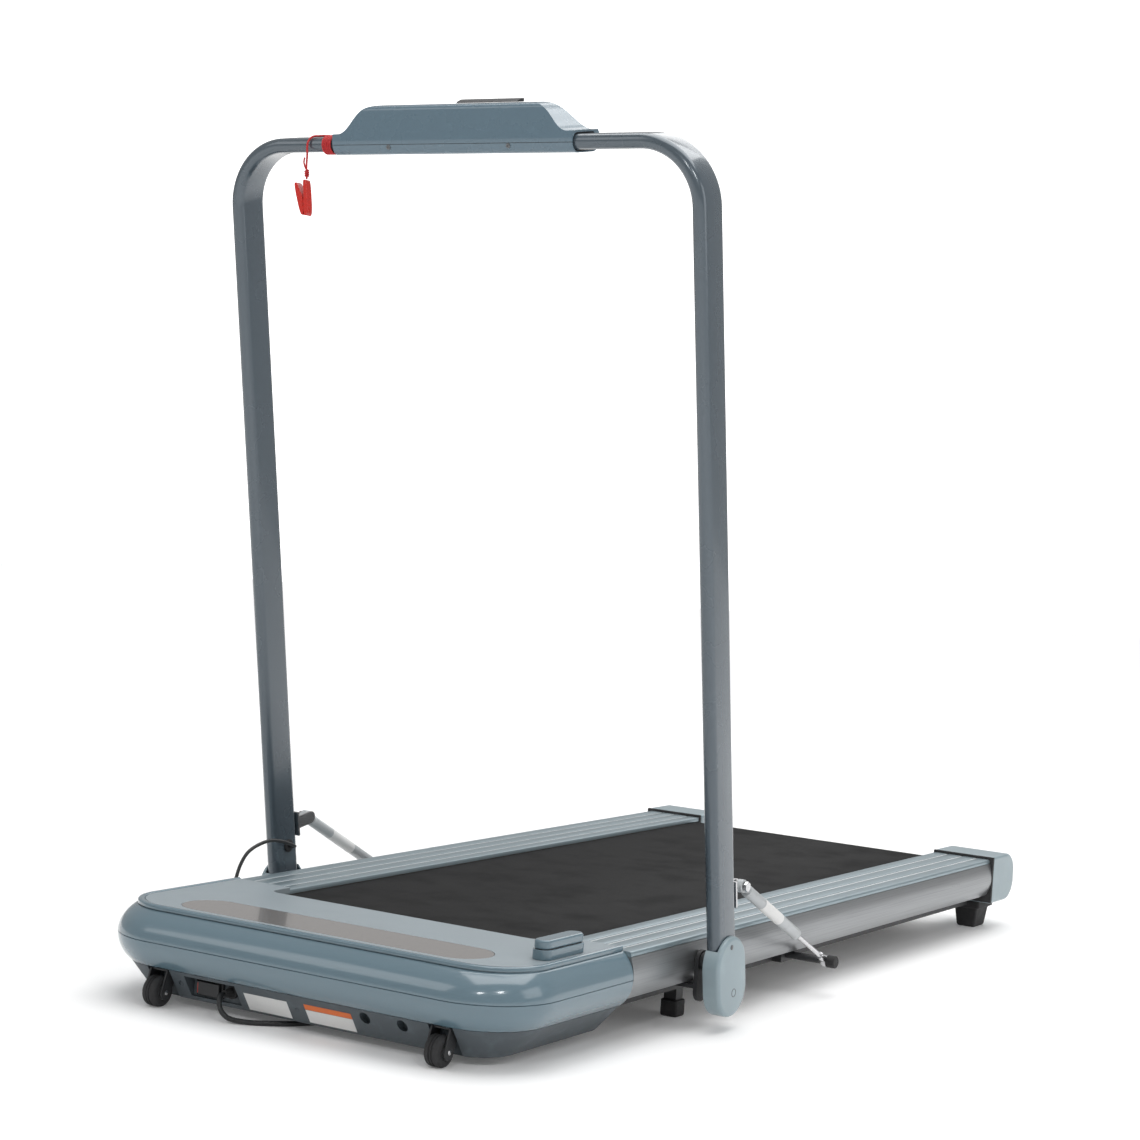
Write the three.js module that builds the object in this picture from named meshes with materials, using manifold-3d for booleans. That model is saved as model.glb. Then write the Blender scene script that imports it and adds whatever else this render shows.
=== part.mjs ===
// Folding walking treadmill with a U-shaped handle that swings down over the deck.
// Millimetres, +Z up, +X to the walker's right seen from the hood end, -Y the motor hood, +Y the rear.
// The origin is on the floor under the middle of the machine.
import * as THREE from 'three';
import { mergeVertices } from 'three/addons/utils/BufferGeometryUtils.js';
import Module from 'manifold-3d';

const wasm = await Module();
wasm.setup();

// ---------------------------------------------------------------- driving dimensions
const GAP = 0.3; // between pieces that touch
const PART_LINE = 0.3; // seam between two mouldings

const LENGTH = 1424; // hood front to end cap back
const FRONT_Y = -LENGTH / 2;
const REAR_Y = LENGTH / 2;

const HOOD_LENGTH = 259; // hood front to the edge where the foot rails start
const HOOD_REAR_Y = FRONT_Y + HOOD_LENGTH;
const HOOD_HALF_WIDTH = 300; // at the widest line
const HOOD_CORNER_R = 92;
const HOOD_SEAM_Z = 77; // seam between upper and lower shell, the widest line
const HOOD_BULGE_R = 39; // side wall section arc
const HOOD_FRONT_SLOPE = 1.7; // front wall leans back this much more than the sides
const HOOD_RIM_Z = 115;
const HOOD_DECK_Z = 110; // under the top panel
const HOOD_WALL = 3;
const HOOD_RIM_WIDTH = 7;
const BELT_MOUTH_DEPTH = 43; // notch in the hood's rear edge over the belt
const TUB_TOP_Z = 45; // seam between lower shell and base tub
const TUB_BOTTOM_Z = 9;
const TUB_SIDE_SLOPE = 0.92; // inward run per drop
const TUB_FRONT_SLOPE = 0.66;
const TUB_REAR_WALL_Z = 33;

const BELT_WIDTH = 400;
const BELT_TOP_Z = 104;
const BELT_THICK = 1.6;
const ROLLER_R = 19.2;
const ROLLER_LENGTH = 412;
const ROLLER_SHAFT_R = 6;
const ROLLER_SHAFT_LENGTH = 496;
const FRONT_ROLLER_Y = FRONT_Y + 177;
const REAR_ROLLER_Y = REAR_Y - 109;
const DECK_BOARD_WIDTH = 452;
const DECK_BOARD_THICK = 15;

const RAIL_INNER_X = 205;
const RAIL_OUTER_X = 295;
const RAIL_TOP_Z = 109;
const RAIL_THICK = 6;
const RAIL_GROOVES = 3;
const RAIL_GROOVE_PITCH = 23.5;
const RAIL_GROOVE_WIDTH = 4;
const RAIL_GROOVE_DEPTH = 1.6;
const SIDE_PANEL_BOTTOM_Z = 54;
const SIDE_PANEL_BULGE = 5;
const SIDE_PANEL_WALL = 2.6;

const CHASSIS_INNER_X = 240;
const CHASSIS_TUBE_W = 22;
const CHASSIS_TUBE_H = 40;
const CHASSIS_TOP_Z = 76;
const CHASSIS_WALL = 2;
const CROSS_TUBE_H = 18;
const CROSS_TUBE_W = 36;

const CAP_LENGTH = 87;
const CAP_TOP_Z = 113;
const CAP_BOTTOM_Z = 42;
const CAP_PROUD = 5; // cap stands outside the rail by this
const CAP_BACK_R = 30;
const CAP_WALL = 3;
const REAR_FOOT_LENGTH = 62;
const REAR_FOOT_WIDTH = 46;
const FRONT_FOOT_Y = -265;
const FRONT_FOOT_SIZE = 23;
const FRONT_FOOT_H = 25;
const FOOT_STEM_SIZE = 17;

const WHEEL_R = 18;
const WHEEL_WIDTH = 20;
const WHEEL_X = 200;
const WHEEL_Y = FRONT_Y + WHEEL_R;
const AXLE_R = 3;
const FORK_PLATE = 2.4;
const WHEEL_SIDE_GAP = 1;

const HANDLE_LEAN = THREE.MathUtils.degToRad(10.15); // towards the hood
const PIVOT_Y = -296;
const PIVOT_Z = 80;
const PIN_R = 7;
const TUBE_X = 330; // upright centre plane
const TUBE_DEPTH = 50; // fore and aft
const TUBE_THICK = 18;
const TUBE_WALL = 1.6;
const BEND_R = 75;
const CROSSBAR_H = 969.8; // along the upright, pivot to crossbar axis
const TUBE_FOOT = 46; // upright runs on below the pivot
const COVER_OUTER_X = 345.5;
const COVER_INNER_X = 323.3;
const COVER_R = 35;
const COVER_DROP = 28; // between its two end centres
const COVER_WALL = 3.2;
const HINGE_PLATE = 5;

const SPRING_UP_Y = 54; // upper spring pin, from the pivot, across the upright
const SPRING_UP_Z = 81.3; // and along it
const SPRING_LOW_Y = -6; // lower spring stud
const SPRING_LOW_Z = 45;
const CYLINDER_R = 7.5;
const CYLINDER_LENGTH = 162;
const CYLINDER_START = 15;
const ROD_R = 3;
const SPRING_PIN_R = 3;
const EYE_R = 8;
const EYE_THICK = 12;
const ROD_CAP_LENGTH = 9;

const CONSOLE_HALF = 171;
const CONSOLE_TOP = 46; // above the crossbar axis
const CONSOLE_WALL = 2.6;
const CONSOLE_END_TOP = 13;
const CONSOLE_FRONT = -28.5;
const CONSOLE_BOTTOM = -12.5;
const CONSOLE_BACK = 34;
const SHOULDER_IN = 112;
const SHOULDER_OUT = 163;
const DISPLAY_LENGTH = 118;
const DISPLAY_WIDTH = 34;
const DISPLAY_THICK = 2.4;
const KEY_TRAVEL = 1.0;

const MAINS_D = 6.2;
const COIL_MEAN_R = 34;
const COIL_SECTION = 19.2;
const COIL_H = 13;
const COIL_CENTRE = new THREE.Vector2(-3, -392);
const LANYARD_D = 2.6;
const SIGNAL_D = 4.6;

// ---------------------------------------------------------------- materials
const finish = (color, roughness, metalness = 0) => new THREE.MeshStandardMaterial({ color, roughness, metalness });
const SHELL_BLUE = finish(0x6f8893, 0.25);
const TUB_SLATE = finish(0x4d565d, 0.45);
const PANEL_GREY = finish(0xb6bcc0, 0.35);
const INLAY_TAUPE = finish(0x8d8885, 0.3);
const RAIL_BLUE = finish(0x93a6ad, 0.35, 0.3);
const SIDE_SILVER = finish(0x9a9da0, 0.3, 0.5);
const TUBE_PAINT = finish(0x55616a, 0.35, 0.4);
const FRAME_BLACK = finish(0x2a2c2e, 0.6, 0.3);
const BELT_BLACK = finish(0x222223, 0.85);
const RUBBER_BLACK = finish(0x18191a, 0.8);
const CHROME = finish(0xc9ccd0, 0.15, 1);
const SPRING_GREY = finish(0xb4b8bb, 0.4, 0.2);
const PLASTIC_BLACK = finish(0x1c1d1f, 0.4);
const DECK_WOOD = finish(0x7a5a3c, 0.8);
const STEEL = finish(0x8c9096, 0.35, 0.9);
const RED = finish(0xb01f24, 0.4);
const CONSOLE_BLUE = finish(0x5c707c, 0.4);

// ---------------------------------------------------------------- geometry helpers
const V2 = (x, y) => new THREE.Vector2(x, y);
const V3 = (x, y, z) => new THREE.Vector3(x, y, z);

// closed geometry to a manifold solid and back
function solidOf(geometry) {
  const bare = geometry.index ? geometry.toNonIndexed() : geometry.clone();
  bare.deleteAttribute('normal');
  bare.deleteAttribute('uv');
  const merged = mergeVertices(bare, 1e-4);
  const mesh = new wasm.Mesh({
    numProp: 3,
    vertProperties: new Float32Array(merged.attributes.position.array),
    triVerts: new Uint32Array(merged.index.array),
  });
  return new wasm.Manifold(mesh);
}

function geometryOf(solid) {
  const mesh = solid.getMesh();
  const geometry = new THREE.BufferGeometry();
  geometry.setAttribute('position', new THREE.BufferAttribute(mesh.vertProperties, 3));
  geometry.setIndex(new THREE.BufferAttribute(mesh.triVerts, 1));
  geometry.computeVertexNormals();
  return geometry;
}

const join = (...solids) => solids.reduce((sum, solid) => sum.add(solid));
const cut = (solid, ...tools) => tools.reduce((rest, tool) => rest.subtract(tool), solid);

// box between two corners
function block(x0, x1, y0, y1, z0, z1) {
  const geometry = new THREE.BoxGeometry(x1 - x0, y1 - y0, z1 - z0);
  return solidOf(geometry.translate((x0 + x1) / 2, (y0 + y1) / 2, (z0 + z1) / 2));
}

// cylinder of radius r along x, y or z between two places on that axis
function rod(axis, r, from, to, a, b, sides = 20) {
  const geometry = new THREE.CylinderGeometry(r, r, to - from, sides);
  const middle = (from + to) / 2;
  if (axis === 'x') geometry.rotateZ(Math.PI / 2).translate(middle, a, b);
  if (axis === 'y') geometry.translate(a, middle, b);
  if (axis === 'z') geometry.rotateX(Math.PI / 2).translate(a, b, middle);
  return solidOf(geometry);
}

// outline in the YZ plane carried along X
function prismX(shape, x0, x1, curveSegments = 8) {
  const geometry = new THREE.ExtrudeGeometry(shape, { depth: x1 - x0, bevelEnabled: false, curveSegments });
  const turn = new THREE.Matrix4().makeBasis(V3(0, 1, 0), V3(0, 0, 1), V3(1, 0, 0));
  return solidOf(geometry.applyMatrix4(turn).translate(x0, 0, 0));
}

// outline in the XZ plane carried along Y
function prismY(shape, y0, y1, curveSegments = 8) {
  const geometry = new THREE.ExtrudeGeometry(shape, { depth: y1 - y0, bevelEnabled: false, curveSegments });
  return solidOf(geometry.rotateX(Math.PI / 2).translate(0, y1, 0));
}

// outline in the XY plane carried up Z
function prismZ(shape, z0, z1, curveSegments = 8) {
  const geometry = new THREE.ExtrudeGeometry(shape, { depth: z1 - z0, bevelEnabled: false, curveSegments });
  return solidOf(geometry.translate(0, 0, z0));
}

// solid through a stack of convex rings with the same number of points
function loft(rings) {
  const count = rings[0].length;
  const position = rings.flat().flatMap((p) => [p.x, p.y, p.z]);
  const index = [];
  for (let i = 0; i < rings.length - 1; i++) {
    for (let j = 0; j < count; j++) {
      const k = (j + 1) % count;
      const low = i * count;
      const high = low + count;
      index.push(low + j, low + k, high + k, low + j, high + k, high + j);
    }
  }
  const last = (rings.length - 1) * count;
  for (let j = 1; j < count - 1; j++) {
    index.push(0, j + 1, j);
    index.push(last, last + j, last + j + 1);
  }
  const geometry = new THREE.BufferGeometry();
  geometry.setAttribute('position', new THREE.Float32BufferAttribute(position, 3));
  geometry.setIndex(index);
  return solidOf(geometry);
}

// rectangle with all four corners round
function roundedRect(x0, x1, y0, y1, r) {
  const shape = new THREE.Shape();
  shape.moveTo(x0 + r, y0);
  shape.lineTo(x1 - r, y0);
  shape.absarc(x1 - r, y0 + r, r, -Math.PI / 2, 0);
  shape.lineTo(x1, y1 - r);
  shape.absarc(x1 - r, y1 - r, r, 0, Math.PI / 2);
  shape.lineTo(x0 + r, y1);
  shape.absarc(x0 + r, y1 - r, r, Math.PI / 2, Math.PI);
  shape.lineTo(x0, y0 + r);
  shape.absarc(x0 + r, y0 + r, r, Math.PI, 1.5 * Math.PI);
  return shape;
}

// outline round two circles of one radius, the second straight below the first
function stadium(r, drop, cy = 0, cz = 0) {
  const shape = new THREE.Shape();
  shape.absarc(cy, cz, r, 0, Math.PI);
  shape.absarc(cy, cz - drop, r, Math.PI, 2 * Math.PI);
  shape.closePath();
  return shape;
}

// loop of a belt over two wheels: outline of the wheels' common hull, grown by offset
function beltOutline(a, ra, b, rb, offset) {
  const shape = new THREE.Path();
  const along = Math.atan2(b.y - a.y, b.x - a.x);
  const wrap = Math.acos((ra - rb) / a.distanceTo(b));
  shape.absarc(a.x, a.y, ra + offset, along + wrap, along - wrap + 2 * Math.PI);
  shape.absarc(b.x, b.y, rb + offset, along - wrap, along + wrap);
  shape.closePath();
  return shape;
}

function beltSolid(a, ra, b, rb, thick, x0, x1, segments) {
  const outline = beltOutline(a, ra, b, rb, GAP + thick);
  const shape = new THREE.Shape(outline.getPoints(segments));
  shape.holes.push(new THREE.Path(beltOutline(a, ra, b, rb, GAP).getPoints(segments)));
  return prismX(shape, x0, x1, segments);
}

// round cord along hand-set points
function cord(points, diameter, steps, sides) {
  const section = new THREE.Shape();
  section.absarc(0, 0, diameter / 2, 0, 2 * Math.PI);
  const curve = new THREE.CatmullRomCurve3(points, false, 'centripetal');
  const round = new THREE.Shape(section.getSpacedPoints(sides).slice(0, sides));
  return solidOf(new THREE.ExtrudeGeometry(round, { steps, extrudePath: curve, bevelEnabled: false }));
}

// ---------------------------------------------------------------- the assembly
const treadmill = new THREE.Group();
const handle = new THREE.Group();
handle.position.set(0, PIVOT_Y, PIVOT_Z);
handle.rotation.x = HANDLE_LEAN;
treadmill.add(handle);

function place(name, solid, material, parent = treadmill) {
  const mesh = new THREE.Mesh(geometryOf(solid), material);
  mesh.name = name;
  parent.add(mesh);
  return mesh;
}

// a left and a right copy; the left one is the mirror of the right
function placePair(name, solid, material, parent = treadmill) {
  place(`${name}_right`, solid, material, parent);
  place(`${name}_left`, solid.mirror([1, 0, 0]), material, parent);
}

// ---------------------------------------------------------------- motor hood
// inset of the bulging wall from its widest line, at a height
function bulgeInset(z) {
  const rise = Math.min(Math.abs(z - HOOD_SEAM_Z), HOOD_BULGE_R);
  return HOOD_BULGE_R - Math.sqrt(HOOD_BULGE_R ** 2 - rise ** 2);
}

function hoodRing(z, sideInset, frontInset, rear = HOOD_REAR_Y) {
  const half = HOOD_HALF_WIDTH - sideInset;
  const front = FRONT_Y + frontInset;
  const r = HOOD_CORNER_R - (sideInset + frontInset) / 2;
  const corner = 9;
  const ring = [V3(half, rear, z), V3(-half, rear, z)];
  for (let i = 0; i <= corner; i++) {
    const t = Math.PI + (i / corner) * (Math.PI / 2);
    ring.push(V3(-half + r + r * Math.cos(t), front + r + r * Math.sin(t), z));
  }
  for (let i = 0; i <= corner; i++) {
    const t = 1.5 * Math.PI + (i / corner) * (Math.PI / 2);
    ring.push(V3(half - r + r * Math.cos(t), front + r + r * Math.sin(t), z));
  }
  return ring;
}

const steps = (from, to, count) => Array.from({ length: count + 1 }, (_, i) => from + ((to - from) * i) / count);

function upperRing(z, offset, rear) {
  const inset = bulgeInset(z);
  return hoodRing(z, inset + offset, inset * HOOD_FRONT_SLOPE + offset, rear);
}

function lowerRing(z, offset, rear) {
  const inset = bulgeInset(z);
  return hoodRing(z, inset + offset, inset + offset, rear);
}

function tubRing(z, offset, rear) {
  const inset = bulgeInset(TUB_TOP_Z);
  const drop = TUB_TOP_Z - z;
  return hoodRing(z, inset + drop * TUB_SIDE_SLOPE + offset, inset + drop * TUB_FRONT_SLOPE + offset, rear);
}

const PAST_REAR = HOOD_REAR_Y + 20;
const RIM_INSET = bulgeInset(HOOD_DECK_Z);
const rimRing = (z, offset, rear) => hoodRing(z, RIM_INSET + offset, RIM_INSET * HOOD_FRONT_SLOPE + offset, rear);

// notch over the belt, shared by the hood pieces
function beltMouth(clearance, z0, z1) {
  const half = RAIL_INNER_X - 8 - clearance;
  const front = HOOD_REAR_Y - BELT_MOUTH_DEPTH - clearance;
  return prismZ(roundedRect(-half, half, front, PAST_REAR + 20, 16), z0, z1, 4);
}

const upperLevels = steps(HOOD_SEAM_Z + PART_LINE / 2, HOOD_DECK_Z, 5);
const upperSkin = loft([
  ...upperLevels.map((z) => upperRing(z, 0)),
  rimRing(HOOD_DECK_Z + 0.8, 1.2),
  rimRing(HOOD_RIM_Z - 1.5, 1.2),
  rimRing(HOOD_RIM_Z, 2.6),
]);
const upperHollow = loft([
  upperRing(HOOD_SEAM_Z - 1, HOOD_WALL, PAST_REAR),
  ...steps(HOOD_SEAM_Z + 8, HOOD_DECK_Z - HOOD_WALL, 3).map((z) => upperRing(z, HOOD_WALL, PAST_REAR)),
]);
const panelPocket = loft([
  rimRing(HOOD_DECK_Z, HOOD_RIM_WIDTH, PAST_REAR),
  rimRing(HOOD_RIM_Z + 1, HOOD_RIM_WIDTH, PAST_REAR),
]);
place('hood_upper_shell', cut(upperSkin, upperHollow, panelPocket, beltMouth(0, 90, 130)), SHELL_BLUE);

const lowerLevels = steps(TUB_TOP_Z + PART_LINE / 2, HOOD_SEAM_Z - PART_LINE / 2, 4);
const lowerSkin = loft(lowerLevels.map((z) => lowerRing(z, 0)));
const lowerHollow = loft([
  lowerRing(TUB_TOP_Z - 1, HOOD_WALL, PAST_REAR),
  ...steps(TUB_TOP_Z + 8, HOOD_SEAM_Z + 1, 2).map((z) => lowerRing(z, HOOD_WALL, PAST_REAR)),
]);
const CABLE_ENTRY = V3(-HOOD_HALF_WIDTH + 3, HOOD_REAR_Y - 20, 62);
const cableHole = rod('x', SIGNAL_D / 2 + 1.2, -320, -280, CABLE_ENTRY.y, CABLE_ENTRY.z, 14);
place('hood_lower_shell', cut(lowerSkin, lowerHollow, cableHole), SHELL_BLUE);

// top panel with its recessed display window
const PANEL_TOP_Z = HOOD_RIM_Z - 1.2;
const WINDOW_HALF = 215;
const WINDOW_R = 37;
const WINDOW_Y = FRONT_Y + 84;
const WINDOW_DEPTH = 1.6;
const panelPlate = loft([
  rimRing(HOOD_DECK_Z + GAP, HOOD_RIM_WIDTH + GAP, HOOD_REAR_Y - 1),
  rimRing(PANEL_TOP_Z, HOOD_RIM_WIDTH + GAP, HOOD_REAR_Y - 1),
]);
const windowShape = (grow) => roundedRect(
  -WINDOW_HALF - grow,
  WINDOW_HALF + grow,
  WINDOW_Y - WINDOW_R - grow,
  WINDOW_Y + WINDOW_R + grow,
  WINDOW_R + grow - 0.01,
);
const windowPocket = prismZ(windowShape(GAP), PANEL_TOP_Z - WINDOW_DEPTH, PANEL_TOP_Z + 1, 8);
place('top_panel', cut(panelPlate, windowPocket, beltMouth(1, 90, 130)), PANEL_GREY);
const windowFloor = PANEL_TOP_Z - WINDOW_DEPTH + GAP;
place('display_window', prismZ(windowShape(0), windowFloor, PANEL_TOP_Z, 8), INLAY_TAUPE);

// two-tier pod on the right rear corner of the panel
const POD_X0 = 247;
const POD_X1 = 272;
const POD_Y0 = FRONT_Y + 112;
const POD_Y1 = POD_Y0 + 88;
const POD_H = 22;
const POD_R = 12;
const podTier = (inset, z0, z1) => prismZ(
  roundedRect(POD_X0 + inset, POD_X1 - inset, POD_Y0 + inset, POD_Y1 - inset, POD_R - inset),
  z0,
  z1,
  4,
);
const podBase = PANEL_TOP_Z + GAP;
const podStep = podBase + POD_H / 2;
place(
  'corner_pod',
  join(podTier(0, podBase, podStep), podTier(1.2, podStep - 0.5, podBase + POD_H - 3), podTier(3, podStep, podBase + POD_H)),
  SHELL_BLUE,
);

// ---------------------------------------------------------------- base tub
const RECESS = { x0: -163, x1: -88, z0: 16, z1: 41, back: FRONT_Y + 40 };
const TUB_FACE_Y = FRONT_Y + bulgeInset(TUB_TOP_Z);
const POCKET_HALF = WHEEL_WIDTH / 2 + WHEEL_SIDE_GAP + FORK_PLATE + 3;
const POCKET_BACK_Y = WHEEL_Y + WHEEL_R + 10;

const tubSkin = loft([
  tubRing(TUB_BOTTOM_Z, 5),
  tubRing(TUB_BOTTOM_Z + 1.5, 1.4),
  tubRing(TUB_BOTTOM_Z + 5, 0),
  tubRing(TUB_TOP_Z - PART_LINE / 2, 0),
]);
const tubHollow = loft([
  tubRing(TUB_BOTTOM_Z + HOOD_WALL, HOOD_WALL, HOOD_REAR_Y - HOOD_WALL),
  tubRing(TUB_TOP_Z + 1, HOOD_WALL, HOOD_REAR_Y - HOOD_WALL),
]);
const recessBox = (grow, back, front) => block(
  RECESS.x0 - grow,
  RECESS.x1 + grow,
  front,
  back,
  RECESS.z0 - grow,
  RECESS.z1 + Math.min(grow, 2),
);
const recessWalls = recessBox(HOOD_WALL, RECESS.back + HOOD_WALL, TUB_FACE_Y + 8).intersect(tubSkin);
const recessSpace = recessBox(0, RECESS.back, FRONT_Y - 20);
let tub = cut(tubSkin, tubHollow);
tub = join(tub, recessWalls);
for (const side of [-1, 1]) {
  const x0 = side * WHEEL_X - POCKET_HALF;
  const x1 = side * WHEEL_X + POCKET_HALF;
  const walls = block(x0 - HOOD_WALL, x1 + HOOD_WALL, TUB_FACE_Y, POCKET_BACK_Y + HOOD_WALL, 9.5, TUB_TOP_Z - 0.5);
  tub = join(tub, walls.intersect(tubSkin));
  tub = cut(tub, block(x0, x1, FRONT_Y - 30, POCKET_BACK_Y, -5, TUB_TOP_Z + 5));
}
const GLAND_X = -104;
const GLAND_Z = 29;
const ROCKER_X = -137;
const ROCKER_HALF = 15;
const ROCKER_H = 13;
const switchHole = block(
  ROCKER_X - ROCKER_HALF - 2,
  ROCKER_X + ROCKER_HALF + 2,
  RECESS.back - 5,
  RECESS.back + HOOD_WALL + 5,
  RECESS.z0 + 3.4,
  RECESS.z0 + 3.4 + ROCKER_H + 4,
);
const rearNotch = block(-400, 400, HOOD_REAR_Y - HOOD_WALL - 1, HOOD_REAR_Y + 5, TUB_REAR_WALL_Z, TUB_TOP_Z + 5);
const ventHoles = [95, 146].map((x) => rod('y', 7, FRONT_Y - 20, FRONT_Y + 45, x, TUB_TOP_Z - 10, 16));
place('base_tub', cut(tub, recessSpace, switchHole, rearNotch, ...ventHoles), TUB_SLATE);

// switch plate, rocker and cord gland in the recess
const BEZEL_THICK = 2.5;
const bezelFront = RECESS.back - GAP - BEZEL_THICK;
const rockerWindow = block(
  ROCKER_X - ROCKER_HALF - 0.8,
  ROCKER_X + ROCKER_HALF + 0.8,
  bezelFront - 5,
  RECESS.back + 5,
  RECESS.z0 + 5.4 - 0.6,
  RECESS.z0 + 5.4 + ROCKER_H + 0.6,
);
const GLAND_R = 8;
const bezelPlate = block(
  ROCKER_X - ROCKER_HALF - 5,
  ROCKER_X + ROCKER_HALF + 5,
  bezelFront,
  RECESS.back - GAP,
  RECESS.z0 + 2,
  RECESS.z1 - 2.5,
);
place('switch_bezel', cut(bezelPlate, rockerWindow), PLASTIC_BLACK);
const rockerShape = new THREE.Shape([
  V2(ROCKER_X - ROCKER_HALF, -5.5),
  V2(ROCKER_X, -1.8),
  V2(ROCKER_X + ROCKER_HALF, -2.6),
  V2(ROCKER_X + ROCKER_HALF - 2, 9),
  V2(ROCKER_X - ROCKER_HALF + 2, 6),
]);
const rocker = prismZ(rockerShape, RECESS.z0 + 5.4, RECESS.z0 + 5.4 + ROCKER_H, 4);
place('rocker_switch', rocker.translate([0, bezelFront, 0]), RED);

const GLAND_LENGTH = 18;
const glandBack = RECESS.back - GAP;
const glandCone = new THREE.CylinderGeometry(MAINS_D / 2 + 3, MAINS_D / 2 + 1.2, GLAND_LENGTH - 4, 16);
const gland = join(
  rod('y', GLAND_R, glandBack - 5, glandBack, GLAND_X, GLAND_Z, 16),
  solidOf(glandCone.translate(GLAND_X, glandBack - 4 - (GLAND_LENGTH - 4) / 2, GLAND_Z)),
);
place('cord_gland', gland, PLASTIC_BLACK);

// ---------------------------------------------------------------- transport wheels
const forkInner = WHEEL_WIDTH / 2 + WHEEL_SIDE_GAP;
const FORK_TOP_Z = TUB_TOP_Z - 1;
const earShape = new THREE.Shape();
earShape.absarc(WHEEL_Y, WHEEL_R, 9, -Math.PI, 0);
earShape.lineTo(WHEEL_Y + 22, FORK_TOP_Z);
earShape.lineTo(WHEEL_Y + 1, FORK_TOP_Z);
earShape.closePath();
const ears = [-1, 1].map((side) => {
  const near = WHEEL_X + side * forkInner;
  const far = near + side * FORK_PLATE;
  return prismX(earShape, Math.min(near, far), Math.max(near, far), 10);
});
const forkTop = block(
  WHEEL_X - forkInner - 0.5,
  WHEEL_X + forkInner + 0.5,
  WHEEL_Y + 3,
  WHEEL_Y + 22,
  FORK_TOP_Z - FORK_PLATE,
  FORK_TOP_Z,
);
const axle = rod('x', AXLE_R, WHEEL_X - forkInner - FORK_PLATE - 1, WHEEL_X + forkInner + FORK_PLATE + 1, WHEEL_Y, WHEEL_R, 12);
placePair('wheel_fork', join(...ears, forkTop, axle), PLASTIC_BLACK);
const tyreEdge = 2.5;
const wheelProfile = [
  V2(AXLE_R + GAP, -WHEEL_WIDTH / 2),
  V2(WHEEL_R - tyreEdge, -WHEEL_WIDTH / 2),
  V2(WHEEL_R, -WHEEL_WIDTH / 2 + tyreEdge),
  V2(WHEEL_R, WHEEL_WIDTH / 2 - tyreEdge),
  V2(WHEEL_R - tyreEdge, WHEEL_WIDTH / 2),
  V2(AXLE_R + GAP, WHEEL_WIDTH / 2),
  V2(AXLE_R + GAP, -WHEEL_WIDTH / 2),
];
const wheel = new THREE.LatheGeometry(wheelProfile, 28).rotateZ(-Math.PI / 2).translate(WHEEL_X, WHEEL_Y, WHEEL_R);
placePair('transport_wheel', solidOf(wheel), RUBBER_BLACK);

// ---------------------------------------------------------------- chassis
const CAP_FRONT_Y = REAR_Y - CAP_LENGTH;
const CHASSIS_FRONT_Y = FRONT_Y + 72;
const CHASSIS_OUTER_X = CHASSIS_INNER_X + CHASSIS_TUBE_W;
const CHASSIS_BOTTOM_Z = CHASSIS_TOP_Z - CHASSIS_TUBE_H;
const CHASSIS_REAR_Y = CAP_FRONT_Y - 1;
const BELT_TOP_INNER_Z = BELT_TOP_Z - BELT_THICK - GAP;
const ROLLER_Z = BELT_TOP_INNER_Z - ROLLER_R;
const BOARD_TOP_Z = BELT_TOP_INNER_Z;
const BOARD_BOTTOM_Z = BOARD_TOP_Z - DECK_BOARD_THICK;
const CROSS_Z0 = CHASSIS_TOP_Z - CROSS_TUBE_H + 6;

const longTube = (side) => {
  const xs = [side * CHASSIS_INNER_X, side * CHASSIS_OUTER_X].sort((a, b) => a - b);
  const bore = block(
    xs[0] + CHASSIS_WALL,
    xs[1] - CHASSIS_WALL,
    CHASSIS_FRONT_Y - 5,
    CHASSIS_REAR_Y + 5,
    CHASSIS_BOTTOM_Z + CHASSIS_WALL,
    CHASSIS_TOP_Z - CHASSIS_WALL,
  );
  return cut(block(xs[0], xs[1], CHASSIS_FRONT_Y, CHASSIS_REAR_Y, CHASSIS_BOTTOM_Z, CHASSIS_TOP_Z), bore);
};
// cross members are channels open downwards
const crossMembers = [-420, 60, 520].map((y) => {
  const half = CROSS_TUBE_W / 2;
  const top = CROSS_Z0 + CROSS_TUBE_H;
  const bar = block(-CHASSIS_INNER_X - 1, CHASSIS_INNER_X + 1, y - half, y + half, CROSS_Z0, top);
  const hollow = block(
    -CHASSIS_INNER_X - 5,
    CHASSIS_INNER_X + 5,
    y - half + CHASSIS_WALL,
    y + half - CHASSIS_WALL,
    CROSS_Z0 - 5,
    top - CHASSIS_WALL,
  );
  return cut(bar, hollow);
});
const MOUNT_PLATE_Z = 41;
const mountPlate = block(-CHASSIS_INNER_X - 1, CHASSIS_INNER_X + 1, CHASSIS_FRONT_Y, FRONT_ROLLER_Y - 30, MOUNT_PLATE_Z - 3, MOUNT_PLATE_Z);
const standoffs = [];
const stems = [];
const springStuds = [];
const SPRING_X = TUBE_X;
const STUD_END_X = SPRING_X - EYE_THICK / 2 - 2.5;
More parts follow.
